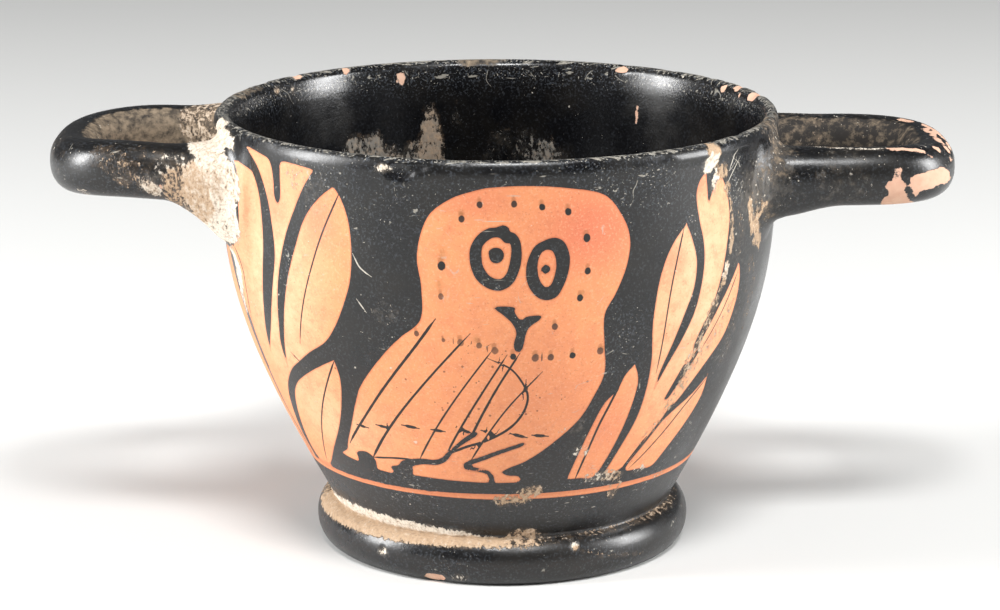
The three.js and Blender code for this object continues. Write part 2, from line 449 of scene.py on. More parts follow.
cup = one_skin(bowl, handles, "painted_cup")
points = read_points(cup)
edges = read_edges(cup)
out_from_axis = np.hypot(points[:, 0] - LEAN * points[:, 2], points[:, 1])
beyond_wall = out_from_axis - wall_radius(points[:, 2])
on_handle = (beyond_wall > 0.3) & (points[:, 2] > HANDLES_FROM)
crossing = on_handle[edges[:, 0]] != on_handle[edges[:, 1]]
crease = np.zeros((len(points), 1))
crease[edges[crossing].ravel()] = 1
for _ in range(CREASE_REACH):
    crease = np.maximum(crease, neighbour_mean(crease, edges, len(points)))
crease = np.clip(crease * 2, 0, 1)
near = crease[:, 0] > 0.01
local = near[edges].all(axis=1)
for _ in range(CREASE_PASSES):
    mean = neighbour_mean(points, edges[local], len(points))
    points = np.where(near[:, None], points + 0.5 * crease * (mean - points), points)
write_points(cup, points)
print("one skin of", len(points), "points, smoothed near", int(near.sum()))

# %% [markdown]
# Where each point is on the cup
# Everything painted or worn is placed by two numbers that a potter would use: the bearing round
# from the front in degrees, to the right as seen from outside, and the height in mm.

# %% Bearing and height
INNER_SKIN = -1.1
INSIDE_FROM = 8.5

height = points[:, 2]
bearing = np.degrees(np.arctan2(points[:, 0] - LEAN * height, -points[:, 1]))
out_from_axis = np.hypot(points[:, 0] - LEAN * height, points[:, 1])
beyond_wall = out_from_axis - wall_radius(height)
handle_share = np.clip((beyond_wall - 0.4) / 1.5, 0, 1) * (height > HANDLES_FROM)
inside_share = np.clip((INNER_SKIN - beyond_wall) / 0.5, 0, 1) * (height > INSIDE_FROM)
print("share of points on the handles:", round(float((handle_share > 0.5).mean()), 3))


def around(from_bearing, to_bearing):
    """Signed degrees from one bearing to another, the short way round."""
    return (from_bearing - to_bearing + 180) % 360 - 180


def spot(at_bearing, at_height, half_wide, half_tall):
    """1 in the middle of an oval place on the wall, 0 from its edge on. Sizes in mm."""
    across = np.radians(around(bearing, at_bearing)) * out_from_axis / half_wide
    return fall(np.hypot(across, (height - at_height) / half_tall), 1)


def ball(centre, reach):
    """1 at a point in space, 0 from `reach` mm away on."""
    return fall(np.linalg.norm(points - np.array(centre), axis=1), reach)


# %% [markdown]
# Chips, lime and dirt
# Two thousand years in the ground chipped the lip and foot, and left a crust of lime in the groove
# above the foot, over the left handle's root and in runs down the wall. Soil still fills the
# inner faces of the handles. The crust breaks into crumbs finer than the mesh. So each point
# stores how many mm it lies inside the crust, and the shader shifts that number up and down by a
# crumbly noise of up to a mm before it cuts it at zero: where the number is high the crust is
# whole, and around zero half of it is gone.

# %% Brushes for worn and crusted places
NEVER = -9.0
FULL_CRUST = 0.9
TINTED_EDGE = 0.7
crust_mm = np.full(len(points), NEVER)
tone = np.full(len(points), 0.6)


def line_distance(points, path):
    """Distance from each point to a line of straight steps, in as many dimensions as they have:
    each step's nearest place is start + s step, with s from 0 to 1."""
    path = np.array(path, float)
    away = np.full(len(points), 99.0)
    for start, step in zip(path[:-1], np.diff(path, axis=0)):
        share = np.clip((points - start) @ step / max(step @ step, 1e-9), 0, 1)
        away = np.minimum(away, np.linalg.norm(points - start - share[:, None] * step, axis=1))
    return away


def oval_mm(at_bearing, at_height, half_wide, half_tall):
    """Mm inside an oval on the wall: its smaller half size times (1 - distance from its middle)."""
    across = np.radians(around(bearing, at_bearing)) * out_from_axis / half_wide
    return min(half_wide, half_tall) * (1 - np.hypot(across, (height - at_height) / half_tall))


def run_mm(path, half_width):
    """Mm inside a run down the wall, whose middle is given as (bearing, height)."""
    middle = np.mean(path, axis=0)
    scale = np.radians(1) * float(wall_radius(middle[1]))
    place = np.stack([around(bearing, middle[0]) * scale, height], axis=1)
    flat = [((b - middle[0]) * scale, h) for b, h in path]
    near_wall = (beyond_wall > -1.0) & (beyond_wall < 1.5)
    return np.where(near_wall, half_width - line_distance(place, flat), NEVER)


def ball_mm(centre, reach):
    """Mm inside a ball round a place on the cup."""
    return reach - np.linalg.norm(points - np.array(centre), axis=1)


def lay(layer, share, strength=1.0):
    """The layer, or the new share of it where that is more."""
    return np.maximum(layer, share * strength)


def encrust(inside_by, coverage, colour):
    """Adds crust where a place is inside by so many mm, at most up to the number that leaves the
    wanted share of it covered, and sets its colour from 0, grey, over 0.5, tan, to 1, cream."""
    global crust_mm, tone
    crust_mm = np.maximum(crust_mm, np.minimum(inside_by, FULL_CRUST * (2 * coverage - 1)))
    tone = np.where(inside_by > -TINTED_EDGE, colour, tone)


# %% Lime in the groove and on the wall
GROOVE_CRUST = [
    # bearing, lowest and highest height of the crust
    (-150, 7.2, 7.4), (-100, 6.6, 8.6), (-80, 6.0, 9.3), (-62, 6.0, 10.0), (-52, 6.1, 10.4),
    (-40, 6.3, 10.1), (-30, 6.5, 10.0), (-20, 6.7, 9.4), (-13, 6.8, 9.3), (-7, 6.9, 8.3), (1, 7.0, 8.2),
    (3, 6.9, 9.4), (6, 6.8, 10.0), (11, 7.0, 9.6), (13, 7.3, 8.3), (18, 7.6, 8.1), (19, 7.75, 8.05),
    (45, 7.75, 8.1), (60, 7.6, 8.4), (76, 7.6, 8.1), (100, 7.6, 8.1), (150, 7.4, 7.9),
]
GROOVE_REACH = 34.6
crust_bearing, crust_low, crust_high = np.array(GROOVE_CRUST).T
low_edge = height - np.interp(bearing, crust_bearing, crust_low)
high_edge = np.interp(bearing, crust_bearing, crust_high) - height
in_groove = (out_from_axis < GROOVE_REACH) & (beyond_wall > -2) & (height > 5)
groove_mm = np.where(in_groove, np.minimum(low_edge, high_edge), NEVER)
# how much of it is left at each bearing
COVER_BEARINGS = [-90, -70, -10, 0, 3, 11, 14, 30, 60, 90]
COVER_SHARES = [0.5, 0.88, 0.88, 0.76, 0.54, 0.52, 0.36, 0.44, 0.46, 0.36]
groove_cover = np.interp(bearing, COVER_BEARINGS, COVER_SHARES)
encrust(groove_mm, groove_cover, 0.5 + 0.4 * np.clip((height - 7.9) / 0.9, 0, 1) * (bearing < 0))

LIME_OVALS = [
    # bearing, height, half width, half height, coverage, colour
    (-67, 66, 3.0, 8, 0.93, 1.0), (-69, 57, 2.0, 9, 0.93, 1.0), (-70, 49, 1.0, 6, 0.55, 0.9),
    (-65, 72, 2.4, 3.0, 0.6, 0.8), (-41.5, 71.8, 2.6, 2.4, 0.38, 0.8), (-37, 67, 2.4, 5, 0.3, 0.8),
    (46.3, 75.0, 1.6, 1.7, 0.7, 0.42), (45.8, 73.3, 1.7, 1.1, 0.85, 0.85),
    (44.8, 72.4, 1.1, 0.6, 0.85, 1.0), (49.0, 71.4, 1.9, 1.3, 0.58, 0.45),
    (46.8, 69.8, 0.5, 1.3, 0.8, 0.85), (51.2, 68.6, 0.9, 1.1, 0.6, 0.45),
    (30, 19.6, 2.5, 1.1, 0.5, 0.6), (33.3, 17, 1.0, 2.2, 0.44, 0.5), (24.8, 19.7, 1.3, 0.8, 0.42, 0.8),
    (40.4, 19.6, 1.1, 0.7, 0.42, 0.8), (51, 17, 1.4, 0.7, 0.4, 0.6), (20, 25.4, 1.2, 1.0, 0.44, 0.9),
    (3, 16.2, 2.8, 1.0, 0.56, 0.55), (8, 17.6, 1.9, 1.0, 0.56, 0.55), (-23, 50.6, 2.0, 1.7, 0.34, 0.8),
    (16, 30.6, 2.3, 1.2, 0.32, 0.8), (23.6, 27.6, 2.4, 1.4, 0.28, 0.8), (-22, 74.9, 1.1, 0.5, 0.8, 0.8),
    (-38.5, 4.2, 0.9, 0.6, 0.8, 0.95), (-12.8, 1.5, 1.0, 0.6, 0.42, 0.8),
    (22.6, 6.4, 0.55, 0.5, 0.9, 0.8), (63, 52, 1.6, 3.0, 0.36, 0.3), (66, 46, 1.4, 4, 0.34, 0.35),
    (59, 41, 1.4, 4, 0.34, 0.5), (62, 63, 1.5, 4, 0.42, 0.3), (150, 14, 9, 4, 0.4, 0.6),
    (120, 40, 5, 12, 0.34, 0.5), (-125, 20, 7, 6, 0.38, 0.6), (-160, 60, 3, 11, 0.42, 0.7),
    (163, 47, 2.5, 9, 0.4, 0.6), (-110, 60, 3, 9, 0.42, 0.7), (100, 62, 3, 9, 0.4, 0.4),
    (-95, 55, 6, 7, 0.46, 0.8),
]
for *oval, coverage, colour in LIME_OVALS:
    encrust(np.where(inside_share + handle_share > 0.4, NEVER, oval_mm(*oval)), coverage, colour)

LIME_RUNS = [
    # run down the wall, half width, coverage, colour
    ([(51.4, 68.6), (52.6, 65.5), (53.4, 62)], 0.45, 0.5, 0.5),
    ([(53.6, 61), (53.2, 57.5)], 0.5, 0.6, 0.35), ([(52.3, 55.6), (51.6, 52.4)], 0.6, 0.62, 0.7),
    ([(51.4, 52), (49.6, 48.7), (47.8, 45.5)], 0.4, 0.5, 0.4),
    ([(49.4, 49), (47.2, 44), (45.4, 40.4), (43.9, 37)], 0.9, 0.46, 0.5),
    ([(47.6, 40.6), (46, 37), (44, 34), (42.6, 31.6)], 1.0, 0.44, 0.5),
    ([(45, 33.5), (40.6, 28.4), (37.6, 25)], 0.8, 0.36, 0.45),
    ([(56.6, 48.4), (53.2, 44.2), (50.3, 41)], 0.7, 0.4, 0.55),
    ([(56, 64), (57.2, 60), (56.5, 57)], 0.6, 0.38, 0.35),
    ([(60.6, 64.5), (61.2, 61.5), (62.8, 59.6)], 0.8, 0.6, 0.45),
    ([(64.8, 63.6), (63.4, 61.4), (64.4, 58.6), (66.8, 56.8)], 0.7, 0.62, 0.5),
    ([(63.4, 57.6), (66.6, 56.4)], 0.7, 0.56, 0.35),
    ([(0, 15.6), (4, 16.4), (9.5, 18.2)], 0.8, 0.46, 0.5),
]
for path, half_width, coverage, colour in LIME_RUNS:
    encrust(run_mm(path, half_width), coverage, colour)
print("lime down the wall:", len(LIME_OVALS), "spots and", len(LIME_RUNS), "runs")

# %% Lime inside and on the handles
INSIDE_OVALS = [
    # bearing, height, half width, half height, coverage, colour
    (-140, 56, 3.0, 5, 0.42, 0.16), (-144, 57, 3.6, 7, 0.54, 0.16), (-149, 56, 3.2, 8, 0.56, 0.16),
    (-154, 54, 3.4, 7, 0.54, 0.18), (-159, 54, 3.2, 7.5, 0.48, 0.16),
    (-163.6, 57, 2.4, 10.5, 0.62, 0.26), (179, 57, 3.4, 6.6, 0.34, 0.1), (173, 55, 3.2, 8, 0.4, 0.1),
    (168.5, 56, 2.6, 6, 0.52, 0.12), (164.5, 55, 2.2, 5, 0.4, 0.12), (-170, 66, 1.0, 2.0, 0.36, 0.1),
    (-116, 73, 0.6, 0.6, 0.7, 0.7), (-120, 74.9, 0.7, 0.5, 0.6, 0.6),
    (-125.7, 74.4, 0.5, 0.5, 0.6, 0.7), (40, 50, 9, 14, 0.34, 0.2), (-20, 35, 12, 9, 0.34, 0.3),
    (100, 30, 12, 9, 0.36, 0.3), (-60, 45, 8, 12, 0.34, 0.2), (140, 40, 10, 16, 0.3, 0.3),
    (-150, 30, 14, 12, 0.33, 0.3),
]
for *oval, coverage, colour in INSIDE_OVALS:
    encrust(np.where(inside_share > 0.3, oval_mm(*oval), NEVER), coverage, colour)

LIME_BALLS = [
    # place, reach, coverage, colour
    ((-48.2, -22.4, 67), 5.6, 0.68, 0.8), ((-52, -22, 66), 5, 0.52, 0.72),
    ((-55, -21.4, 68), 4.4, 0.4, 0.62), ((-47.6, -21.6, 60.5), 4.6, 0.66, 0.9),
    ((-48.6, -18.5, 73), 4.0, 0.72, 0.8), ((-53, -22.4, 63.4), 4.4, 0.44, 0.62),
    ((-46.4, -13, 75.6), 3.0, 0.66, 0.8), ((-57.4, -21, 69.2), 3.4, 0.34, 0.45),
    ((-57, -21, 65), 3, 0.3, 0.45), ((-67.4, -18.3, 71.5), 2.0, 0.36, 0.35),
    ((-65.7, -19.2, 71.2), 2.0, 0.38, 0.4), ((-64, -19.8, 70), 2.4, 0.4, 0.4),
    ((-63, -20.4, 69), 2.2, 0.42, 0.5), ((-61.6, -20.6, 68), 2.0, 0.34, 0.4),
    ((-59.2, -21, 67.2), 1.2, 0.56, 0.7), ((-58.2, -20.7, 66), 1.2, 0.6, 0.75),
    ((-60.5, -20.3, 71.5), 2.3, 0.3, 0.4), ((-70.6, -15.3, 64.7), 1.2, 0.46, 0.8),
    ((-76, -8.5, 70.9), 2.2, 0.34, 0.7), ((-75, -12.6, 69.4), 2.0, 0.28, 0.6),
    ((-77, -4, 70), 3, 0.3, 0.6), ((-51.5, 13, 72), 6, 0.5, 0.6), ((44, -20, 69), 3.4, 0.36, 0.3),
    ((45, -16, 75), 3.0, 0.4, 0.4), ((46.6, -12.6, 74.4), 2.2, 0.46, 0.6), ((51, 13, 71), 6, 0.36, 0.4),
    ((57, -17.4, 67.4), 5, 0.3, 0.8),
]
for centre, reach, coverage, colour in LIME_BALLS:
    encrust(np.where(inside_share > 0.3, NEVER, ball_mm(centre, reach)), coverage, colour)
# a line of lime along the right handle's upper edge, and one left in a scratch on the foot
HANDLE_EDGE = [
    (49.5, -12, 72.4), (53, -14.2, 72), (57, -15.2, 71.8), (61, -15.6, 71.8), (64.4, -15.3, 71.7),
]
FOOT_SCRATCH = [(12.6, -29.7, 5.9), (16.5, -28.4, 4.5), (21.2, -25.1, 3.4), (24, -22.4, 2.8)]
encrust(0.42 - line_distance(points, HANDLE_EDGE), 0.9, 0.85)
encrust(0.1 - line_distance(points, FOOT_SCRATCH), 0.4, 0.45)
print("crusted:", round(float((crust_mm > 0).mean()), 3), "of the points")

# %% Dirt and dust
HOLE_MIDDLE = 58
HANDLES_LOWEST = 58
normals = np.empty(len(points) * 3)
cup.data.vertices.foreach_get("normal", normals)
normals = normals.reshape(-1, 3)
side_of = np.sign(points[:, 0])
to_hole = np.stack([side_of * HOLE_MIDDLE - points[:, 0], -points[:, 1]], axis=1)
to_hole /= np.linalg.norm(to_hole, axis=1)[:, None].clip(1e-6)
faces_hole = np.clip(((normals[:, :2] * to_hole).sum(axis=1) - 0.1) / 0.5, 0, 1)
near_hole = np.clip((beyond_wall - 0.2) / 1.5, 0, 1) * (height > HANDLES_LOWEST)
dirt = faces_hole * near_hole * np.where(side_of < 0, 1.0, 0.8)
DIRT_BALLS = [
    # place, reach, strength
    ((45, -18, 70), 9, 0.62), ((44.5, -20.5, 62), 7, 0.5), ((-54, -21, 68), 7, 0.25),
    ((49, 12, 71), 9, 0.5), ((-50, 13, 71), 9, 0.6), ((45, -8, 74), 8, 0.55), ((-46, -12, 74), 8, 0.55),
]
for centre, reach, strength in DIRT_BALLS:
    dirt = lay(dirt, ball(centre, reach) * (1 - inside_share), strength)
tone = np.where((dirt > 0.05) & (crust_mm < 0), np.where(side_of < 0, 0.75, 0.25), tone)
DIRTY_LIP = [(-176, 76.3, 9, 1.8, 0.8), (-108, 76.3, 12, 1.6, 0.55), (72, 76, 14, 2, 0.6)]
for *oval, strength in DIRTY_LIP:
    dirt = lay(dirt, spot(*oval), strength)
pooled = 0.5 + 0.4 * rough_noise(points, 9, seed=61)
dirt = lay(dirt, fall(np.abs(height - FLOOR_HEIGHT), 5) * inside_share * pooled)

dust = 0.3 * np.clip(normals[:, 2], 0, 1) * (handle_share > 0.5)
for *oval, strength in [(62, 66, 12, 12, 0.8), (56, 58, 10, 22, 0.45), (-64, 50, 6, 26, 0.4)]:
    dust = lay(dust, spot(*oval), strength)
for centre, reach, strength in [((45, -19, 69), 8, 0.85), ((47, -16, 74), 6, 0.9)]:
    dust = lay(dust, ball(centre, reach), strength)

# wear of the slip: it sets where specks and hair scratches show, and also how much bright bluish grain is
# painted on the slip as sheen
wear_and_sheen = 0.34 + 0.2 * rough_noise(points, 8, seed=71)
# inside the bowl there is little of this wear and painted sheen, more in a band just under the rim
wear_and_sheen = np.where(inside_share > 0.5, 0.12 + 0.5 * fall(np.abs(height - 74), 4), wear_and_sheen)
wear_and_sheen = lay(wear_and_sheen, fall(np.abs(height - 76.6), 1.5), 0.9)
for *oval, strength in [(-38, 72.5, 9, 4, 0.62), (54, 68, 10, 9, 0.66)]:
    wear_and_sheen = lay(wear_and_sheen, spot(*oval), strength)
# painted highlight: more bright grain and specks on the left handle's tip
wear_and_sheen = lay(wear_and_sheen, ball((-77, -8, 69), 9), 0.55)
print("dirt on", round(float((dirt > 0.4).mean()), 3), "of the points")

# %% [markdown]
# Where the slip has gone
# In places the slip flaked off and shows the clay. On the right handle two patches and some
# stripes have clear outlines, and the rest are small chips. All go into one layer: how many mm a
# point is inside the nearest bare place. The shader frays the edges.

# %% Flaked places
BARE_BALLS = [
    # place, radius
    ((66.2, -17.9, 68.7), 0.7), ((73.6, -11.2, 71.1), 0.9), ((75.6, -8.3, 70.3), 1.0),
    ((76.2, -9.3, 69.2), 0.8), ((72.1, -14.2, 70.0), 0.6), ((-18.9, 42.1, 74.1), 0.9),
    ((21.3, 39.1, 64.1), 0.6), ((-28.8, 37.2, 76.1), 0.8), ((39.7, 21.7, 75.6), 0.8),
    ((43.9, 12.2, 76.0), 1.0), ((42.6, 16.0, 75.2), 0.6), ((-57.0, -21.2, 66.9), 0.5),
    ((-74, 10, 71), 1.0), ((-12.5, 46.6, 60), 0.8), ((20, 43.5, 55), 0.9),
]
BARE_LINES = [
    # path, half width
    ([(70.3, 11.0, 71.8), (71.9, 9.0, 71.8)], 0.7),
    ([(73.7, 7.0, 71.8), (75.0, 4.4, 71.7), (75.8, 1.6, 71.4), (76.3, -1.4, 71.1)], 0.75),
    ([(73.3, 3.2, 71.8), (74.2, 0.2, 71.7), (74.3, -2.4, 71.6)], 0.6),
    ([(74.4, -4.4, 71.5), (74.7, -6.8, 71.2)], 0.75), ([(76.6, -3.4, 70.7), (76.6, -6.4, 70.2)], 0.6),
    ([(64.7, -15.4, 71.8), (68.3, -14.7, 71.6), (71.3, -13.8, 70.9)], 0.55),
    ([(24.9, 37.2, 69.2), (25.1, 37.0, 67.0), (25.3, 36.7, 65.4), (25.0, 36.8, 64.2)], 0.42),
]
RIGHT_HANDLE_PATCHES = [
    # outlines seen from the front, as (x, height)
    [(64.0, 66.3), (64.9, 67.3), (66.5, 67.4), (67.8, 66.4), (67.3, 65.1), (68.3, 64.4), (68.4, 63.4),
     (69.6, 62.6), (68.4, 62.0), (65.6, 61.7), (63.9, 62.6), (63.7, 63.5), (64.6, 64.4), (64.7, 65.2)],
    [(68.9, 67.6), (70.4, 68.1), (72.5, 68.2), (74.0, 68.4), (75.3, 67.8), (76.2, 66.6), (76.0, 65.6),
     (75.1, 65.2), (73.8, 65.6), (72.7, 65.1), (71.2, 65.0), (70.4, 64.8), (69.8, 63.9), (68.9, 64.4),
     (68.9, 65.5), (68.3, 66.4)],
]
bare_patch = np.full(len(points), NEVER)
for centre, radius in BARE_BALLS:
    bare_patch = np.maximum(bare_patch, ball_mm(centre, radius))
for path, half_width in BARE_LINES:
    bare_patch = np.maximum(bare_patch, half_width - line_distance(points, path))

CHIPS = [
    # bearing, height, half width, half height, depth, radius laid bare
    (-18.6, 74.4, 3.4, 1.5, 0.5, 0), (-15.2, 75.2, 2.4, 1.0, 0.4, 0), (22.5, 6.5, 0.9, 0.7, 0.25, 0),
    (-20.9, 0.9, 3.0, 1.1, 0.4, 0.8), (-117, 76.2, 2.6, 0.9, 0.35, 0), (-129, 76.4, 1.2, 0.7, 0.2, 0.6),
    (113, 76.3, 1.4, 0.8, 0.2, 0.9), (104, 76.0, 2.2, 1.0, 0.3, 1.0), (-38.5, 4.2, 1.0, 0.8, 0.2, 0),
    (150, 75.8, 1.6, 0.9, 0.3, 0.7), (-165, 2, 3, 1.6, 0.45, 1.4), (170, 5.5, 1.8, 1.4, 0.4, 1.2),
    (86, 76.3, 1.3, 0.7, 0.25, 0), (-94, 76.2, 2.0, 0.8, 0.25, 0),
]
ragged = 0.4 * rough_noise(points, 1.7, seed=31)
near_lip = fall(np.abs(height - 76.3), 1.6) * (beyond_wall < 0.6)
hollow = 0.3 * near_lip * np.clip(rough_noise(points, 2.4, seed=51) - 0.35, 0, 0.6)
for at_bearing, at_height, half_wide, half_tall, depth, bare_size in CHIPS:
    share = np.clip(spot(at_bearing, at_height, half_wide, half_tall) * (1 + ragged) * 2.2, 0, 1)
    hollow = np.maximum(hollow, share * depth)
    if bare_size:
        bare_patch = np.maximum(bare_patch, bare_size * (2 * share - 1))

# %% [markdown]
# How far the lime stands out
# Lime stands off the wall by a tenth of a mm or a few, thickest in the groove, and a chip is a
# shallow hollow with a ragged edge. Both are large enough to catch the light at their edges, so
# they move the mesh's own points along their normals. That keeps one closed skin, and no point
# may pass the measured model's box.

# %% Move the points
LIME_FILM = 0.06
GROOVE_LIME = 0.2
ROOT_LIME = 0.1
SPOT_LIME = 0.3
crumbs = rough_noise(points, 1.6, seed=21)
covered = np.clip((crust_mm + 0.5 * crumbs) / 0.8, 0, 1)
in_groove_share = np.clip(groove_mm / 0.6, 0, 1)
thick = LIME_FILM + GROOVE_LIME * in_groove_share
thick += ROOT_LIME * ball((-48, -22, 66), 10) + SPOT_LIME * spot(46, 73.8, 2.4, 2.0)
lift = covered * thick * (0.9 + 0.5 * crumbs)
points = points + normals * (lift - hollow)[:, None]
points = np.clip(points, np.array(cad_low) / MM, np.array(cad_high) / MM)
write_points(cup, points)
print("deepest chip", round(float(hollow.max()), 2), "mm")
print("thickest lime", round(float(lift.max()), 2), "mm")

# %% [markdown]
# How the painting is held
# The figures aren't painted on: the black slip was brushed round them, and the bare clay inside is
# what shows as orange. Their edges are sharper than any mesh, and a picture file is ruled out. So
# each point of the mesh stores how far it is, in mm, inside the nearest edge. Between points that
# distance changes evenly, so the shader can cut it at zero and get an edge as sharp as a brush's.

# %% Curves through points


def smooth_line(corners, closed=False, steps=7):
    """A Catmull-Rom curve through the corners: between two of them it is the cubic whose slope at
    each is half the way from the corner before to the corner after. A corner given twice stays
    sharp."""
    knots = np.array(corners, float)
    if closed:
        knots = np.concatenate([knots[-1:], knots, knots[:2]])
    else:
        knots = np.concatenate([knots[:1], knots, knots[-1:]])
    t = np.linspace(0, 1, steps, endpoint=False)[None, :, None]
    before, start, end, after = (knots[n:len(knots) - 3 + n, None] for n in range(4))
    slope_start, slope_end = (end - before) / 2, (after - start) / 2
    curve = (start * (2 * t**3 - 3 * t**2 + 1) + end * (3 * t**2 - 2 * t**3)
             + slope_start * (t**3 - 2 * t**2 + t) + slope_end * (t**3 - t**2))
    return np.concatenate([curve.reshape(-1, knots.shape[1]), knots[-2:-1]])


def to_line(across, upward, line):
    """For points (across, upward) and a line of short straight steps, all in mm: how far each point
    is from the line, on which side it is, and how far along the line (0 to 1) it lies nearest."""
    start, step = line[:-1], np.diff(line, axis=0)
    length = np.hypot(*step.T).clip(1e-6)
    gap_x = across[:, None] - start[None, :, 0]
    gap_y = upward[:, None] - start[None, :, 1]
    share = np.clip((gap_x * step[:, 0] + gap_y * step[:, 1]) / length**2, 0, 1)
    away = np.hypot(gap_x - share * step[:, 0], gap_y - share * step[:, 1])
    nearest = away.argmin(axis=1)
    row = np.arange(len(across))
    turn = step[nearest, 0] * gap_y[row, nearest] - step[nearest, 1] * gap_x[row, nearest]
    along = (nearest + share[row, nearest]) / len(step)
    return away[row, nearest], turn / length[nearest], along


def inside_of(across, upward, line):
    """True for points inside a closed line: a ray to the right crosses it an odd number of times."""
    x, y = across[:, None], upward[:, None]
    x0, y0 = line[:-1].T
    x1, y1 = line[1:].T
    spans = (y0 > y) != (y1 > y)
    slope = (x1 - x0) / np.where(y1 == y0, 1, y1 - y0)
    return ((x < x0 + (y - y0) * slope) & spans).sum(axis=1) % 2 == 1


# %% [markdown]
# Working in millimetres on a curved wall
# Outlines are given in degrees and mm, as on an unrolled tracing. Distances near an outline are
# measured on the wall itself: a degree is as wide as the wall's radius makes it, and a mm of
# height is a little more along the slope.

# %% Painted layers
slope_of_wall = np.gradient(wall_line[:, 0], wall_line[:, 1])
wall_stretch = np.interp(height, wall_line[:, 1], np.hypot(1, slope_of_wall))
round_scale = np.radians(1) * wall_radius(height)
paintable = (beyond_wall > -1.0) & (beyond_wall < 1.3) & (height > 10) & (height < 75.4)
MARGIN = 4
MARGIN_DEGREES = 8
BAND_STEP = 2
FRONT, BACK = 0, 180


def on_wall(line, side, mirror):
    """The numbers of the points near a line, and the bearing of every point from the middle of its
    side, counted the other way where the side is mirrored."""
    facing = around(bearing, side) * mirror
    low, high = line.min(axis=0), line.max(axis=0)
    close = paintable & (facing > low[0] - MARGIN_DEGREES) & (facing < high[0] + MARGIN_DEGREES)
    close &= (height > low[1] - MARGIN) & (height < high[1] + MARGIN)
    return np.flatnonzero(close), facing


def measured(line, side, mirror):
    """Numbers of the points near a line, with their distance from it in mm, on which side they lie,
    how far along, and whether they are inside. The points are taken in bands of height, so that
    each band has one scale."""
    chosen, facing = on_wall(line, side, mirror)
    away = np.empty(len(chosen))
    turn = np.empty(len(chosen))
    along = np.empty(len(chosen))
    inside = np.zeros(len(chosen), bool)
    band = np.floor(height[chosen] / BAND_STEP).astype(int)
    for level in np.unique(band):
        here = band == level
        numbers = chosen[here]
        scale, stretch = round_scale[numbers].mean(), wall_stretch[numbers].mean()
        x, y = facing[numbers] * scale, height[numbers] * stretch
        flat = line * np.array([scale, stretch])
        away[here], turn[here], along[here] = to_line(x, y, flat)
        inside[here] = inside_of(x, y, flat)
    return chosen, away, turn * mirror, along, inside


def add_area(layer, corners, side, mirror=1):
    """Adds a closed area to a layer of distances, positive inside. Where areas overlap the larger
    distance holds."""
    line = smooth_line(corners, closed=True)
    chosen, away, _, _, inside = measured(line, side, mirror)
    layer[chosen] = np.maximum(layer[chosen], np.where(inside, away, -away))


def add_stroke(layer, corners, width_from, width_to, side, mirror=1):
    """Adds a brush stroke whose width goes evenly from one end's to the other's, in mm."""
    line = smooth_line(corners)
    chosen, away, _, along, _ = measured(line, side, mirror)
    half = (width_from + (width_to - width_from) * along) / 2
    layer[chosen] = np.maximum(layer[chosen], half - away)


def add_hairline(layer, corners, width_from, width_to, side, mirror=1):
    """Adds a line finer than the mesh to a layer of three numbers: signed distance to the line,
    half its width there, and plain distance. The nearest hairline holds at each point. The width
    goes evenly from start to end, and both ends are pointed."""
    line = smooth_line(corners)
    chosen, away, turn, along, _ = measured(line, side, mirror)
    pointed = np.clip(np.minimum(along, 1 - along) * 9 + 0.35, 0, 1)
    half = (width_from + (width_to - width_from) * along) / 2 * pointed
    nearer = away < layer[chosen, 2]
    chosen, away, turn, half = chosen[nearer], away[nearer], turn[nearer], half[nearer]
    layer[chosen] = np.stack([turn, half, away], axis=1)


def add_dot(place, size, dark, side):
    """Adds a round dab, as the two offsets from its middle over its size, and its plain distance,
    with how dark it is in a layer of its own."""
    across = around(bearing, side) - place[0]
    across, upward = across * round_scale, (height - place[1]) * wall_stretch
    away = np.hypot(across, upward)
    nearer = paintable & (away < dots[:, 2])
    dots[nearer] = np.stack([across / size, upward / size, away], axis=1)[nearer]
    dot_dark[nearer] = dark


# %% [markdown]
# The owl
# The bird stands in the middle of the front with its head turned to us. Head, body and feet are one
# reserved area, and the eyes, beak and leg lines are brushed on it. Each outline below was read off
# the photograph as (degrees round from the front, height in mm), with only the corners it needs. A
# corner given twice is a sharp one.

# %% Owl
OWL = [
    (6.1, 72.6), (12.9, 72.1), (20.5, 70.6), (24.4, 66.8), (26.1, 62.8), (25.5, 58.6), (23.5, 54.3),
    (21.2, 50.5), (21.7, 45.2), (22.5, 40.3), (21.1, 36.5), (18.0, 31.6), (12.1, 27.2), (6.5, 24.2),
    (1.6, 22.6), (0.2, 21.8), (1.8, 21.2), (4.5, 21.0), (5.2, 19.8), (5.2, 19.8), (-2.9, 19.7),
    (-13.6, 19.9), (-24.9, 20.2), (-29.9, 19.9), (-35.3, 20.2), (-41.0, 20.9), (-46.8, 21.6),
    (-46.8, 21.6), (-43.3, 23.0), (-42.2, 24.2), (-38.2, 28.4), (-34.0, 33.8), (-31.5, 36.9),
    (-24.5, 43.2), (-20.2, 46.6), (-15.6, 50.0), (-15.0, 55.5), (-15.6, 61.2), (-13.4, 67.2),
    (-8.9, 70.4), (-3.6, 72.0), (0.5, 72.5),
]
